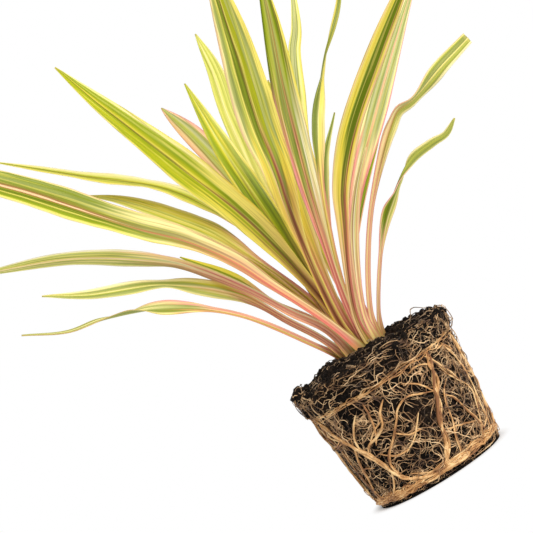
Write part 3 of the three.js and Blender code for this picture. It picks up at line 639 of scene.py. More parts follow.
def curvePoint(points, share):  # centripetal Catmull-Rom, as the solids' routes
    spans = len(points) - 1
    span = min(int(share * spans), spans - 1)
    t = share * spans - span
    one, two = points[span], points[span + 1]
    before = points[span - 1] if span > 0 else one * 2 - two
    after = points[span + 2] if span + 2 <= spans else two * 2 - one
    gaps = [max((b - a).length, 1e-4) ** 0.5 for a, b in ((before, one), (one, two), (two, after))]
    leave = (one - before) / gaps[0] - (two - before) / (gaps[0] + gaps[1]) + (two - one) / gaps[1]
    arrive = (two - one) / gaps[1] - (after - one) / (gaps[1] + gaps[2]) + (after - two) / gaps[2]
    leave *= gaps[1]
    arrive *= gaps[1]
    return (one + leave * t + (one * -3 + two * 3 - leave * 2 - arrive) * t * t
            + (one * 2 - two * 2 + leave + arrive) * t * t * t)


class Route:  # a smooth line through points, asked for by share of length
    def __init__(self, points, fine=400):
        self.points = [Vector(p) for p in points]
        self.samples = [curvePoint(self.points, k / fine) for k in range(fine + 1)]
        self.lengths = [0.0]
        for a, b in zip(self.samples, self.samples[1:]):
            self.lengths.append(self.lengths[-1] + (b - a).length)
        self.length = self.lengths[-1]

    def at(self, share):
        target = clamp(share) * self.length
        low, high = 0, len(self.lengths) - 1
        while high - low > 1:
            middle = (low + high) // 2
            low, high = (middle, high) if self.lengths[middle] <= target else (low, middle)
        inside = (target - self.lengths[low]) / max(self.lengths[high] - self.lengths[low], 1e-9)
        return self.samples[low].lerp(self.samples[high], inside)

    def heading(self, share, reach=0.002):
        return (self.at(share + reach) - self.at(share - reach)).normalized()


def turnAt(turns, share):
    for (low, start), (high, end) in zip(turns, turns[1:]):
        if share <= high:
            return mix(start, end, smooth(share, low, high))
    return turns[-1][1]


def halfWidth(shape, share):
    if share < shape["broadest"]:
        return 0.5 * mix(shape["stem"], shape["width"], smooth(share, shape["stalk"], shape["broadest"]))
    beyond = (share - shape["broadest"]) / (1 - shape["broadest"])
    return 0.5 * mix(shape["width"], shape.get("end", leafCut["tip"]), beyond ** shape["taper"])


def newLeaf(name, shape, slot):
    route = Route(shape["route"])
    rows = round(route.length / leafCut["row"])
    columns = leafCut["columns"]
    waves = math.tau * round(route.length / leafCut["waveLength"])
    turns = shape.get("turns") or [(0, 0), (1, shape["turn"])]
    points, places, sizes = [], [], []
    for k in range(rows + 1):
        share = k / rows
        heading = route.heading(share)
        across = leafFront.cross(heading).normalized()
        across.rotate(Matrix.Rotation(math.radians(turnAt(turns, share)), 3, heading))
        up = heading.cross(across)
        blade = smooth(share, shape["stalk"], shape["broadest"])
        rise = math.tan(math.radians(mix(leafCut["channel"], leafCut["fold"], blade)))
        flare = leafCut["flare"] * (1 - smooth(share * route.length, 0, leafCut["flareLength"]))
        half = halfWidth(shape, share) + flare / 2
        swell = shape["wave"] * math.sin(math.pi * share) ** 2
        middle = route.at(share)
        for face in (1, -1):
            for column in range(columns + 1):
                edge = mix(-1, 1, column / columns) * face
                out = abs(edge)
                phase = waves * share + leafCut["waveShift"] * math.copysign(1, edge)
                ruffle = leafCut["ruffle"] * math.sin(waves * share * leafCut["ruffleRate"] + edge * 2)
                wave = out ** 1.5 * swell * (math.sin(phase) + ruffle)
                arch = leafCut["arch"] * half * math.sin(math.pi * out) * blade
                thick = mix(leafCut["rib"], leafCut["edge"], min(1, out * 2.4)) * (1 - 0.5 * out ** 6)
                lift = out ** 1.1 * half * rise + arch + wave + face * thick / 2
                points.append((middle + across * edge * half + up * lift) * mm)
                places.append(((1 - edge) / 2, share))
                sizes.append((-edge * half, share * route.length))
    faces = ringFaces(rows + 1, 2 * (columns + 1))
    piece = newPiece(name + "_blade", points, faces, leafFinish(name, shape), slot, name)
    for mapName, spots in (("blade", places), ("grain", sizes)):
        layer = piece.data.uv_layers.new(name=mapName)
        for loop in piece.data.loops:
            layer.data[loop.index].uv = spots[loop.vertex_index]


slotOf = {entry["node"]: entry["material_slot"] for entry in frame["record"]["subparts"]}
for leafName, leafShape in leaves.items():
    newLeaf(leafName, leafShape, slotOf[leafName])
print("leaves:", len(leaves))


# The ball of soil, in millimetres

ball = {
    "height": 97,
    "side": [(48, 0), (51.4, 23), (54.2, 45), (57, 68), (57.3, 76), (57.3, 83), (60.8, 84), (61.5, 96)],
    "rim": 61,
    "top": [(61, 97), (57, 98.3), (50, 99.6), (42, 100.4), (34, 101), (28, 102), (20, 102), (14, 99),
            (0, 99)],
    "slant": 2.2,  # how far the collar climbs to the right, and sinks to the left
    "base": (12, 24, 36, 44),  # rings of the underside
    "wallGrain": 3.4,  # size of the crumbs on the wall, and depth between them
    "hollow": 1.9,
    "topGrain": 4.2,  # and on the top
    "mound": 2.2,
    "wallSwell": 11,  # size of the broader bumps
    "topSwell": 9,
    "scatter": 2.1,  # of the sideways shifts of the top
    "topFrom": 96.5,
    "columns": 340,
    "row": 0.9,
    "topRow": 1.2,
}


def lineAt(pairs, value):  # straight lines through (value, result) pairs
    for (low, first), (high, second) in zip(pairs, pairs[1:]):
        if value <= high:
            return mix(first, second, clamp((value - low) / (high - low)))
    return pairs[-1][1]


sideByHeight = [(z, radius) for radius, z in ball["side"]]
topByRadius = [(radius, z) for radius, z in reversed(ball["top"])]


def skinRadius(height, turn=0.5 * math.pi):
    return lineAt(sideByHeight, height + ball["slant"] * (0.5 - math.cos(turn)))


topClods = [  # x, y, reach along x and y, height: hollows and lumps of the top
    (-45, -6, 9, 52, -3.6), (-28, -10, 7, 24, 3.4), (-57, -8, 4, 14, 3.6), (23, -23, 16, 15, -5.5),
    (38, -20, 12, 14, -1.6), (8, -34, 11, 8, 1.2),
]
clodsFrom = (88, 96)  # heights in which they come in


def topShift(x, y, z):
    shift = 0
    for spotX, spotY, reachX, reachY, height in topClods:
        apart = math.hypot((x - spotX) / reachX, (y - spotY) / reachY)
        apart += 0.3 * noise.noise(Vector((x / 5, y / 5, height)))
        shift += height * (1 - smooth(apart, 0.6, 1.1))
    return shift * smooth(z, *clodsFrom)


def crumble(point, size):  # 0 to 1, round grains with dark gaps between
    near = noise.voronoi(point / size)[0]
    return clamp(1 - near[0] * 1.1) * 0.65 + 0.35 * (0.5 + 0.5 * noise.noise(point / (size * 0.37)))


soilLook = {
    "broadScale": 60,  # a larger scale is a finer pattern
    "grainScale": 900,
    "fleckScale": 700,
    "dark": [(0.3, tone(4, 3, 2)), (0.52, tone(16, 12, 9)), (0.7, tone(42, 32, 24))],
    "warm": [(0.3, tone(10, 7, 5)), (0.52, tone(34, 25, 18)), (0.72, tone(76, 58, 42))],
    "warmFrom": (0.46, 0.66),
    "fleck": tone(168, 140, 104),
    "fleckFrom": (0.965, 0.985),
    "fleckShare": 0.6,
    "rough": 0.95,
    "shine": 0.12,
}


def soilFinish():
    def fill(sheet):
        place = sheet.place()
        broad = sheet.noise(place, soilLook["broadScale"], 3.0)
        grain = sheet.noise(place, soilLook["grainScale"], 4.0, 0.65)
        sockets = {"Vector": place, "Scale": soilLook["fleckScale"]}
        cells = sheet.add("ShaderNodeTexVoronoi", None, sockets, output="Color")
        flecks = sheet.part(cells, 0).step(*soilLook["fleckFrom"]) * soilLook["fleckShare"]
        dark, warm = sheet.ramp(grain, soilLook["dark"]), sheet.ramp(grain, soilLook["warm"])
        colour = sheet.blend(broad.step(*soilLook["warmFrom"]), dark, warm)
        colour = sheet.blend(flecks, colour, soilLook["fleck"])
        return {"Base Color": colour, "Roughness": soilLook["rough"],
                "Normal": sheet.bump(grain, 0.8, 0.0006), "Specular IOR Level": soilLook["shine"]}
    return newFinish("moistSoil", fill)


soilMaterial = soilFinish()


def newSoilBall():
    columns = ball["columns"]
    points = []
    outline = [(r, 0.0) for r in ball["base"]]
    z = 0.0
    while z < ball["height"] - 1:
        outline.append((skinRadius(z), z))
        z += ball["row"]
    radius = ball["rim"]
    while radius > 3:
        outline.append((radius, lineAt(topByRadius, radius)))
        radius -= ball["topRow"]
    for radius, z in outline:
        for k in range(columns):
            angle = math.tau * k / columns
            flat = Vector((math.cos(angle), math.sin(angle), 0))
            point = flat * (radius + skinRadius(z, angle) - skinRadius(z)) + Vector((0, 0, z))
            point.z += topShift(point.x, point.y, z)
            if z > ball["topFrom"]:
                mound = ball["mound"] * (crumble(point, ball["topGrain"]) * 1.3 - 0.75)
                point.z += mound + 1.4 * noise.noise(point / ball["topSwell"])
                point += flat * 0.8 * noise.noise(point / ball["scatter"])
            elif z > 0.5:
                deep = ball["hollow"] * (1 - crumble(point, ball["wallGrain"]))
                point -= flat * (deep + 0.5 * max(0, noise.noise(point / ball["wallSwell"])))
            points.append(point * mm)
    faces = ringFaces(len(outline), columns)
    newPiece("soil_grains", points, faces, soilMaterial, "soil", "soil_ball")


newSoilBall()
print("soil ball")


# Roots, in millimetres: a net of large ones as in the solids, with branches and webs of finer ones

rootLook = {
    "thick": {"shades": [tone(130, 82, 42), tone(204, 150, 90), tone(244, 204, 144)], "dirt": 0.14},
    "web": {"shades": [tone(84, 56, 36), tone(172, 130, 86), tone(240, 202, 152)], "dirt": 0.3},
    "hair": {"shades": [tone(48, 36, 26), tone(104, 80, 58), tone(192, 160, 124)], "dirt": 0.4},
}

rootGrain = {
    "patchScale": 110,
    "barkScale": 1400,
    "dirtScale": 210,
    "dirtFrom": (0.55, 0.7),
    "dirt": tone(44, 33, 24),
    "places": (0.28, 0.5, 0.7),  # of the three shades
    "rough": 0.55,
    "shine": 0.5,
}


def rootFinish(name):
    look = rootLook[name]

    def fill(sheet):
        place = sheet.place()
        own = sheet.add("ShaderNodeAttribute", {"attribute_name": "own"}, None, output="Fac")
        patches = sheet.noise(place, rootGrain["patchScale"], 3.0)
        bark = sheet.noise(place, rootGrain["barkScale"], 3.0, 0.6)
        seat = patches + (bark - 0.5) * 0.4 + (own - 0.5) * 0.36
        colour = sheet.ramp(seat, list(zip(rootGrain["places"], look["shades"])))
        dirt = sheet.noise(place, rootGrain["dirtScale"], 4.0, 0.7).step(*rootGrain["dirtFrom"])
        colour = sheet.blend(dirt * look["dirt"] * 2, colour, rootGrain["dirt"])
        return {"Base Color": colour, "Roughness": rootGrain["rough"],
                "Normal": sheet.bump(bark, 0.5, 0.0003), "Specular IOR Level": rootGrain["shine"]}
    return newFinish(name + "Root", fill)


rootMaterials = {name: rootFinish(name) for name in rootLook}

mainRoots = {
    "shown": [  # radius, strands, then [x, height] on the front of the ball
        (1.9, 5, [(32, 80), (30, 72), (28, 62), (24, 52), (19, 42), (15, 31), (12, 22), (9, 15), (2, 8)]),
        (1.2, 2, [(35, 57), (29, 51), (26, 43), (23, 32), (19, 20), (17, 10), (14, 5)]),
        (1.3, 2, [(28, 49), (33, 43), (36, 31), (39, 20), (40, 7)]),
        (1.3, 3, [(24, 55), (14, 59), (4, 62), (-3, 59), (-9, 51), (-17, 42), (-25, 34), (-27, 26), (-24, 16),
                  (-15, 8)]),
        (1.8, 4, [(-54, 78), (-50, 65), (-42, 49), (-34, 36), (-29, 24), (-22, 14), (-12, 9), (0, 6.5)]),
        (1.1, 2, [(-41, 55), (-44, 42), (-45.5, 24), (-45.5, 10), (-44, 4)]),
        (1.1, 2, [(34, 68), (37, 59), (43, 50), (46.5, 39), (43, 27), (38, 15), (33, 7)]),
        (0.9, 1, [(30, 78), (34, 72), (38, 63), (42, 53)]),
        (0.9, 1, [(-9, 69), (-15, 62), (-18, 54), (-25, 49), (-33, 46), (-37, 39)]),
        (0.8, 1, [(-30, 69), (-36, 61), (-39, 54), (-39, 46)]),
        (0.8, 1, [(-22, 73), (-22, 65), (-25, 52), (-29, 44)]),
        (1.2, 2, [(-17, 13), (-20, 7), (-28, 4), (-36, 3)]),
        (0.8, 1, [(-29, 24), (-32, 15), (-36, 8)]),
        (1.0, 2, [(45, 79), (49, 64), (50, 48), (47, 30), (44, 10)]),
    ],
    "rings": [  # height, climb to the right, strands, spread, thinnest, thickest
        (79.4, 2.2, 5, 2.2, 0.22, 0.5),
        (7.4, 1.0, 13, 3.2, 0.32, 0.8),
    ],
    "hiddenSeed": 7,
    "uprights": 14,
    "uprightAngles": (-12, 200),
    "uprightHeights": [80, 64, 48, 32, 18, 6],
    "uprightStray": (-6, 6),
    "branches": 30,
    "branchReach": (16, 30),  # degrees round the ball
    "branchHeight": (14, 74),
    "branchRise": (-26, 18),
    "branchStray": (-3.5, 3.5),
    "branchRadius": 0.6,
    "sink": 0.7,  # share of its radius that a root lies off the skin
    "sway": 15,  # lengths in which it bends to the side, rises, kinks and swells
    "bob": 11,
    "kink": 4,
    "swell": 5,
    "row": 1.5,
    "corners": 6,
}
sideRoots = {
    "seed": 31,
    "perRoot": 4,
    "fromRings": (46, 40),  # from the ring under the collar, and from the foot
    "length": (9, 34),
    "radius": (0.2, 0.5),
    "wander": 1.1,  # how sharply it turns
    "fork": 0.16,  # the chance of a fork at each step
    "forks": 2,  # how often a branch may fork again
    "step": 1.4,
    "corners": 4,
}


class Net:  # points, faces and one shade for each root
    def __init__(self):
        self.points, self.faces, self.shades = [], [], []

    def tube(self, line, radii, corners, shade):  # a closed tube along a line that lies on the ball
        start = len(self.points)
        for k, centre in enumerate(line):
            heading = (line[min(k + 1, len(line) - 1)] - line[max(k - 1, 0)]).normalized()
            outward = Vector((centre.x, centre.y, 0)).normalized()
            sideways = heading.cross(outward).normalized()
            outward = sideways.cross(heading)
            for j in range(corners):
                angle = math.tau * j / corners
                away = sideways * math.cos(angle) + outward * math.sin(angle)
                self.points.append((centre + away * radii[k]) * mm)
                self.shades.append(shade)
        self.faces += ringFaces(len(line), corners, start)

    def piece(self, name, finish, node=None):
        made = newPiece(name, self.points, self.faces, rootMaterials[finish], "roots", node)
        made.data.attributes.new("own", "FLOAT", "POINT").data.foreach_set("value", self.shades)
        print(name + ":", len(self.faces) * 2, "triangles")


def frontAngle(x, height):
    return math.degrees(math.atan2(-math.sqrt(skinRadius(height) ** 2 - x * x), x))


def hiddenRoots():  # the same rule and seed as the solids
    numbers = seededNumbers(mainRoots["hiddenSeed"])

    def between(low, high):
        return mix(low, high, next(numbers))
    made = []
    for k in range(mainRoots["uprights"]):
        angle = mix(*mainRoots["uprightAngles"], k / (mainRoots["uprights"] - 1))
        places = [(angle + between(*mainRoots["uprightStray"]), z) for z in mainRoots["uprightHeights"]]
        made.append((1.5 if k % 3 == 0 else 1.15, 3 if k % 3 == 0 else 2, places))
    for k in range(mainRoots["branches"]):
        start = k / mainRoots["branches"] * 360 + between(0, 8)
        side = -1 if next(numbers) < 0.5 else 1
        reach = side * between(*mainRoots["branchReach"])
        height = between(*mainRoots["branchHeight"])
        rise = between(*mainRoots["branchRise"])
        places = []
        for share in (0, 0.5, 1):
            z = height + rise * share + between(*mainRoots["branchStray"])
            places.append((start + reach * share, clamp(z, 10, 77)))
        made.append((mainRoots["branchRadius"], 1, places))
    return made


def onSkin(angle, height, lift):
    turn = math.radians(angle)
    radius = skinRadius(height, turn) + lift
    return Vector((radius * math.cos(turn), radius * math.sin(turn), height))


def pathOf(places):  # [angle, height] at even steps along a root
    line = [Vector((angle, z, 0)) for angle, z in places]
    length = sum((onSkin(b.x, b.y, 0) - onSkin(a.x, a.y, 0)).length for a, b in zip(line, line[1:]))
    count = max(8, round(length / mainRoots["row"]))
    return [tuple(curvePoint(line, k / count)[:2]) for k in range(count + 1)]


def addStrand(net, path, radius, spread, own, closed):  # own is the strand's place in the noise
    line, radii = [], []
    count = len(path) - 1

    def waver(key, run, layer):
        return noise.noise(Vector((own * 9, run / mainRoots[key], layer)))
    for k, (angle, z) in enumerate(path):
        run = k * mainRoots["row"]
        if closed:  # so that the ring meets itself
            run = 70 * math.sin(math.radians(angle) + own) + 50 * math.cos(math.radians(angle) * 2)
        kink = waver("kink", run, 4) * 0.4
        outward = radius * mainRoots["sink"] + max(0, waver("bob", run, 9)) * spread * 1.3
        turn = math.radians(angle)
        along = Vector((-math.sin(turn), math.cos(turn), 0))
        move = spread * waver("sway", run, 0) * 2.2 + kink
        shift = Vector((0, 0, move)) if closed else along * move + Vector((0, 0, kink))
        point = onSkin(angle, z, outward) + shift
        point.z = max(point.z, radius + 0.2)
        taper = 1 if closed else min(1, 0.4 + 4 * min(k, count - k) / count)
        line.append(point)
        radii.append(radius * taper * (1 + 0.2 * waver("swell", run, 20)))
    net.tube(line, radii, mainRoots["corners"], 0.5 + 1.3 * noise.noise(Vector((own * 5.3, 1, 2))))


def newMainRoots():
    net = Net()
    routes, shown = [], []
    for radius, strands, places in mainRoots["shown"]:
        shown.append((radius, strands, [(frontAngle(x, z), z) for x, z in places]))
    for seed, (radius, strands, places) in enumerate(shown + hiddenRoots()):
        path = pathOf(places)
        routes.append(path)
        for strand in range(strands):
            own = seed * 1.37 + strand * 0.61
            thin, spread = radius, 0.4
            if strands > 1:
                thin = radius * mix(0.35, 0.62, 0.5 + noise.noise(Vector((own * 7, 2, 0))))
                spread = radius * 0.8
            addStrand(net, path, thin, spread, own, False)
    count = round(math.tau * 55 / mainRoots["row"])
    for ring, (height, climb, strands, spread, thinnest, thickest) in enumerate(mainRoots["rings"]):
        for strand in range(strands):
            own = 40 + ring * 20 + strand * 0.83
            thin = mix(thinnest, thickest, clamp(0.5 + noise.noise(Vector((own * 7, 5, 0)))))
            lift = spread * mix(-0.7, 0.7, strand / (strands - 1))
            path = []
            for k in range(count + 1):
                turn = math.tau * k / count
                path.append((360 * k / count, height + lift + climb * math.cos(turn)))
            addStrand(net, path, thin, spread * 0.5, own, True)
    net.piece("main_roots", "thick", "root_net")
    return routes


def walkRoot(net, numbers, spot, way, length, radius, depth):  # wanders over the skin, and forks
    line, radii = [], []
    left = length
    angle, z = spot
    own = next(numbers)
    bend = 0.0
    while left > 0 and 1 < z < 95:
        line.append(onSkin(angle, z, radius * mix(0.1, 1.5, next(numbers) ** 2)))
        radii.append(radius * mix(0.35, 1, clamp(left / length * 1.3)))
        bend = bend * 0.7 + (next(numbers) - 0.5) * sideRoots["wander"]
        way += bend * 0.6
        if next(numbers) < sideRoots["fork"] and depth > 0 and left > 4:
            side = -1 if next(numbers) < 0.5 else 1
            walkRoot(net, numbers, (angle, z), way + side * mix(0.5, 1.1, next(numbers)),
                     left * mix(0.4, 0.9, next(numbers)), radius * 0.85, depth - 1)
        angle += math.degrees(math.cos(way) * sideRoots["step"] / skinRadius(z))
        z += math.sin(way) * sideRoots["step"]
        left -= sideRoots["step"]
    if len(line) > 2:
        net.tube(line, radii, sideRoots["corners"], own)


def newSideRoots(routes):
    net = Net()
    numbers = seededNumbers(sideRoots["seed"])
    starts = []
    for path in routes:
        for k in range(sideRoots["perRoot"]):
            starts.append((path[int(next(numbers) * (len(path) - 1))], next(numbers) * math.tau))
    for height, down, count in zip((79, 7), (-1, 1), sideRoots["fromRings"]):
        for k in range(count):
            starts.append(((360 * (k + next(numbers)) / count, height), down * mix(0.5, 2.6, next(numbers))))
    for spot, way in starts:
        length = mix(*sideRoots["length"], next(numbers))
        radius = mix(*sideRoots["radius"], next(numbers))
        walkRoot(net, numbers, spot, way, length, radius, sideRoots["forks"])
    net.piece("side_roots", "web")


newSideRoots(newMainRoots())


# Geometry Nodes that lay short wavy tubes and crumbs all over a surface

webInputs = {"Density": "Float", "Length": "Float", "Radius": "Float", "Bend": "Float", "Bend size": "Float",
             "Lift": "Float", "Spread": "Float", "Points": "Int", "Corners": "Int", "Seed": "Int",
             "Material": "Material"}
crumbInputs = {"Density": "Float", "Smallest": "Float", "Largest": "Float", "Jagged": "Float", "Seed": "Int",
               "Material": "Material"}


def newGroup(name, inputs):
    tree = bpy.data.node_groups.new(name, "GeometryNodeTree")
    tree.interface.new_socket(name="Geometry", in_out="INPUT", socket_type="NodeSocketGeometry")
    for label, kind in inputs.items():
        tree.interface.new_socket(name=label, in_out="INPUT", socket_type="NodeSocket" + kind)
    tree.interface.new_socket(name="Geometry", in_out="OUTPUT", socket_type="NodeSocketGeometry")
    sheet = Sheet(tree)
    entry = sheet.add("NodeGroupInput").socket.node
    given = {socket.name: Wire(sheet, socket) for socket in entry.outputs if socket.name}
    return tree, sheet, given


def chance(sheet, given, low, high, salt):  # one random number for each point
    sockets = {2: low, 3: high, "Seed": given["Seed"] + salt}
    return sheet.add("FunctionNodeRandomValue", {"data_type": "FLOAT"}, sockets, output=1)


def stored(sheet, name):  # a number kept on the points
    return sheet.add("GeometryNodeInputNamedAttribute", {"data_type": "FLOAT"}, {"Name": name})


def scatter(sheet, given):  # points on the skin, more of them where its "growth" is high
    density = given["Density"] * stored(sheet, "growth")
    return sheet.add("GeometryNodeDistributePointsOnFaces", None,
                     {"Mesh": given["Geometry"], "Density": density, "Seed": given["Seed"]})


def realized(sheet, given, copies, salt):  # real points, with a random number "own" for each copy
    kept = sheet.add("GeometryNodeStoreNamedAttribute", {"data_type": "FLOAT", "domain": "INSTANCE"},
                     {"Geometry": copies, "Name": "own", "Value": chance(sheet, given, 0.0, 1.0, salt)})
    return sheet.add("GeometryNodeRealizeInstances", None, {"Geometry": kept})


def shaken(sheet, shape, texture, reach):  # every point moved by the texture's colour
    centred = sheet.vector("SUBTRACT", {0: texture, 1: (0.5, 0.5, 0.5)})
    shift = sheet.vector("SCALE", {0: centred, "Scale": reach})
    return sheet.add("GeometryNodeSetPosition", None, {"Geometry": shape, "Offset": shift})


def finished(sheet, given, shape):
    single = sheet.add("GeometryNodeRealizeInstances", None, {"Geometry": shape})
    dressed = sheet.add("GeometryNodeSetMaterial", None, {"Geometry": single, "Material": given["Material"]})
    sheet.add("NodeGroupOutput", None, {"Geometry": dressed})


def webGroup():
    tree, sheet, given = newGroup("rootWeb", webInputs)
    skin = given["Geometry"]
    place = sheet.add("GeometryNodeInputPosition")
    scattered = scatter(sheet, given)
    outputs = scattered.socket.node.outputs
    around = sheet.vector("CROSS_PRODUCT", {0: (0, 0, 1), 1: Wire(sheet, outputs["Normal"])})
    level = sheet.add("FunctionNodeAlignRotationToVector", {"axis": "X", "pivot_axis": "Z"},
                      {"Rotation": Wire(sheet, outputs["Rotation"]), "Factor": 1.0, "Vector": around})
    start = sheet.point(given["Length"] * -0.5)
    end = sheet.point(given["Length"] * 0.5)
    straight = sheet.add("GeometryNodeCurvePrimitiveLine", None, {"Start": start, "End": end})
    dotted = sheet.add("GeometryNodeResampleCurve", None, {"Curve": straight, "Count": given["Points"]})
    scale = chance(sheet, given, 0.4, 1.6, 1)
    copies = sheet.add("GeometryNodeInstanceOnPoints", None,
                       {"Points": scattered, "Instance": dotted, "Rotation": level, "Scale": scale})
    spin = sheet.point(0.0, 0.0, chance(sheet, given, -1.0, 1.0, 2) * given["Spread"])
    copies = sheet.add("GeometryNodeRotateInstances", None, {"Instances": copies, "Rotation": spin})
    lines = realized(sheet, given, copies, 3)

    own = stored(sheet, "own")
    sway = sheet.add("ShaderNodeTexNoise", {"noise_dimensions": "4D"},
                     {"Vector": place, "W": own * 40, "Scale": 1 / given["Bend size"], "Detail": 2.5,
                      "Roughness": 0.55}, output="Color")
    lines = shaken(sheet, lines, sway, given["Bend"])
    nearest = sheet.add("GeometryNodeProximity", {"target_element": "FACES"}, {0: skin})
    normal = sheet.add("GeometryNodeInputNormal")
    outward = sheet.add("GeometryNodeSampleNearestSurface", {"data_type": "FLOAT_VECTOR"},
                        {0: skin, 1: normal})
    share = sheet.add("GeometryNodeSplineParameter")
    ends = sheet.sum("SINE", share * math.pi)
    other = sheet.sum("FRACT", own * 7)
    lift = given["Lift"] * (other * other * other * 1.8 - 0.12) * ends - (1 - ends) * given["Radius"] * 2
    raised = sheet.vector("SCALE", {0: outward, "Scale": lift})
    seat = sheet.vector("ADD", {0: nearest, 1: raised})
    lines = sheet.add("GeometryNodeSetPosition", None, {"Geometry": lines, "Position": seat})

    thick = given["Radius"] * (0.6 + sheet.sum("FRACT", own * 13) * 0.8) * (0.45 + ends * 0.55)
    ring = sheet.add("GeometryNodeCurvePrimitiveCircle", None,
                     {"Resolution": given["Corners"], "Radius": 1.0})
    tubes = sheet.add("GeometryNodeCurveToMesh", None,
                      {"Curve": lines, "Profile Curve": ring, "Scale": thick, "Fill Caps": True})
    finished(sheet, given, sheet.add("GeometryNodeSetShadeSmooth", None, {0: tubes}))
    return tree


def crumbGroup():
    tree, sheet, given = newGroup("crumbs", crumbInputs)
    place = sheet.add("GeometryNodeInputPosition")
    grain = sheet.add("GeometryNodeMeshIcoSphere", None, {"Radius": 1.0, "Subdivisions": 1})
    share = chance(sheet, given, 0.0, 1.0, 1)
    size = given["Smallest"] + (given["Largest"] - given["Smallest"]) * share * share * share
    turn = sheet.point(chance(sheet, given, 0.0, 6.0, 2), chance(sheet, given, 0.0, 6.0, 3), 0.0)
    stretch = sheet.point(size * 1.25, size, size * 0.8)
    copies = sheet.add("GeometryNodeInstanceOnPoints", None,
                       {"Points": scatter(sheet, given), "Instance": grain, "Rotation": turn,
                        "Scale": stretch})
    lumps = realized(sheet, given, copies, 4)
    rough = sheet.add("ShaderNodeTexNoise", None, {"Vector": place, "Scale": 900.0, "Detail": 1.0},
                      output="Color")
    finished(sheet, given, shaken(sheet, lumps, rough, given["Jagged"]))
    return tree


def grown(name, surface, tree, settings, slot):  # the modifier's result as a plain mesh
    holder = bpy.data.objects.new(name + "_start", surface)
    bpy.context.collection.objects.link(holder)
    modifier = holder.modifiers.new("grow", "NODES")
    modifier.node_group = tree
    for item in tree.interface.items_tree:
        if item.in_out == "INPUT" and item.name in settings:
            modifier[item.identifier] = settings[item.name]
    ready = holder.evaluated_get(bpy.context.evaluated_depsgraph_get())
    mesh = bpy.data.meshes.new_from_object(ready)
    mesh.name = name
    bpy.data.objects.remove(holder)
    placed(name, mesh, slot)
    print(name + ":", sum(len(face.vertices) - 2 for face in mesh.polygons), "triangles")


def latheMesh(name, outline, growth, columns=90):  # a plain surface for the webs and crumbs to lie on
    points = []
    for radius, z in outline:
        for k in range(columns):
            turn = math.tau * k / columns
            reach = radius + skinRadius(z, turn) - skinRadius(z)
            x, y = reach * math.cos(turn), reach * math.sin(turn)
            points.append((x * mm, y * mm, (z + topShift(x, y, z)) * mm))
    mesh = bpy.data.meshes.new(name)
    mesh.from_pydata(points, [], ringFaces(len(outline), columns, caps=False))
    shares = [growth(Vector(point) / mm) for point in points]
    mesh.attributes.new("growth", "FLOAT", "POINT").data.foreach_set("value", shares)
    return mesh


growthSpots = [  # x, height, reach, share: where the front is barer or denser
    (-18, 68, 17, 0.45), (8, 66, 13, 0.6), (0, 42, 14, 0.75), (4, 22, 14, 0.8), (-34, 16, 9, 0.7),
    (-26, 90, 22, 0.4), (10, 91, 14, 0.6), (46, 60, 16, 2.0), (49, 30, 16, 1.9), (44, 91, 12, 1.8),
    (-48, 50, 20, 0.35), (30, 14, 10, 1.3), (-40, 92, 16, 0.3), (-10, 56, 16, 0.7),
    (-30, 56, 14, 0.7),
]


def wallGrowth(point):
    share = 0.9 + 0.9 * noise.noise(point / 16)
    if point.y < 0:
        for x, z, reach, goal in growthSpots:
            near = 1 - smooth(math.hypot(point.x - x, point.z - z), reach * 0.5, reach)
            share *= mix(1, goal, near)
    return clamp(share, 0.1, 2.2)


def evenGrowth(point):
    return clamp(1 + 1.2 * noise.noise(point / 12), 0.15, 2)


def clodGrowth(point):  # crumbs lie round the crown and along the left of the rim
    middle = 1 - smooth(math.hypot(point.x, point.y), 24, 40)
    left = smooth(-point.x, 25, 45)
    return clamp(0.35 + 0.8 * middle + 1.1 * left + 0.9 * noise.noise(point / 9), 0.1, 2.2)


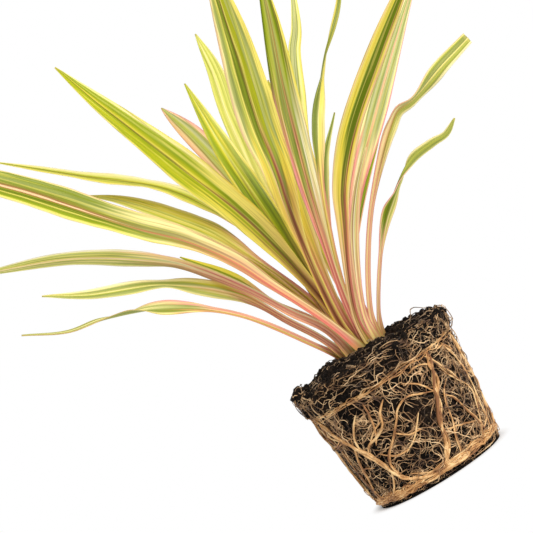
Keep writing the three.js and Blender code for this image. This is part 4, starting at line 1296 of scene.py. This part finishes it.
wallHeights = (2, 8, 16, 23, 34, 45, 56, 68, 75, 78, 79, 80, 81, 82, 83, 84, 85, 86, 90, 96)
surfaces = {
    "wall": latheMesh("wallSkin", [(skinRadius(z), z) for z in wallHeights], wallGrowth),
    "bareWall": latheMesh("bareWall", [(skinRadius(z) - 0.7, z) for z in (1,) + wallHeights], evenGrowth),
    "top": latheMesh("topSkin", [(60, 97.4), (55, 99), (48, 100.2), (40, 101), (32, 102), (26, 102.6)],
                     evenGrowth),
    "clods": latheMesh("clodSkin", [(60.6, 94), (60, 97), (55, 98.6), (48, 100), (40, 100.6), (32, 101.6),
                                    (20, 102)], clodGrowth),
    "rim": latheMesh("rimSkin", [(61.6, 90), (61.7, 94), (61.2, 96.5), (59, 97.8), (55, 98.8)], evenGrowth),
}
webs = {  # where they grow, their look, and sizes in metres
    "web_roots": ("wall", "web", {
        "Density": 22000.0, "Length": 0.026, "Radius": 0.00028, "Bend": 0.017, "Bend size": 0.010,
        "Lift": 0.0016, "Spread": 3.2, "Points": 18, "Corners": 4, "Seed": 3}),
    "hair_roots": ("wall", "hair", {
        "Density": 30000.0, "Length": 0.013, "Radius": 0.00022, "Bend": 0.013, "Bend size": 0.006,
        "Lift": 0.0008, "Spread": 3.2, "Points": 11, "Corners": 3, "Seed": 11}),
    "top_roots": ("top", "hair", {
        "Density": 36000.0, "Length": 0.012, "Radius": 0.0003, "Bend": 0.016, "Bend size": 0.006,
        "Lift": 0.002, "Spread": 3.2, "Points": 12, "Corners": 3, "Seed": 23}),
    "rim_roots": ("rim", "web", {
        "Density": 42000.0, "Length": 0.020, "Radius": 0.00028, "Bend": 0.013, "Bend size": 0.007,
        "Lift": 0.0013, "Spread": 0.7, "Points": 14, "Corners": 3, "Seed": 37}),
    "stray_roots": ("top", "hair", {
        "Density": 1600.0, "Length": 0.022, "Radius": 0.0003, "Bend": 0.016, "Bend size": 0.012,
        "Lift": 0.007, "Spread": 3.2, "Points": 16, "Corners": 4, "Seed": 41}),
}
crumbs = {
    "wall_crumbs": ("bareWall", {
        "Density": 110000.0, "Smallest": 0.0004, "Largest": 0.0016, "Jagged": 0.0014, "Seed": 5}),
    "top_crumbs": ("clods", {
        "Density": 150000.0, "Smallest": 0.0006, "Largest": 0.0034, "Jagged": 0.0022, "Seed": 9}),
}
webTree = webGroup()
crumbTree = crumbGroup()
for webName, (surfaceName, finishName, webSettings) in webs.items():
    webSettings["Material"] = rootMaterials[finishName]
    grown(webName, surfaces[surfaceName], webTree, webSettings, "roots")
for crumbName, (surfaceName, crumbSettings) in crumbs.items():
    crumbSettings["Material"] = soilMaterial
    grown(crumbName, surfaces[surfaceName], crumbTree, crumbSettings, "soil")


# The crown keeps its solid, in the look of dry leaf sheaths

sheathLook = {
    "across": 1300,  # scales of the fibres, which run upwards
    "upwards": 120,
    "patchScale": 160,
    "shades": [(0.3, tone(52, 36, 22)), (0.5, tone(128, 100, 56)), (0.7, tone(186, 164, 92))],
    "rough": 0.8,
    "shine": 0.25,
}


def sheathFinish():
    wide, high = sheathLook["across"], sheathLook["upwards"]

    def fill(sheet):
        place = sheet.place()
        x, y, z = (sheet.part(place, axis) for axis in range(3))
        fibre = sheet.noise(sheet.point(x * wide, y * wide, z * high), 1.0, 3.0)
        patches = sheet.noise(place, sheathLook["patchScale"], 2.0)
        colour = sheet.ramp(fibre + (patches - 0.5) * 0.5, sheathLook["shades"])
        return {"Base Color": colour, "Roughness": sheathLook["rough"],
                "Normal": sheet.bump(fibre, 0.7, 0.0006), "Specular IOR Level": sheathLook["shine"]}
    return newFinish("drySheath", fill)


crown = bpy.data.objects["crown"]
crown.data.materials.clear()
crown.data.materials.append(sheathFinish())
print("crown")
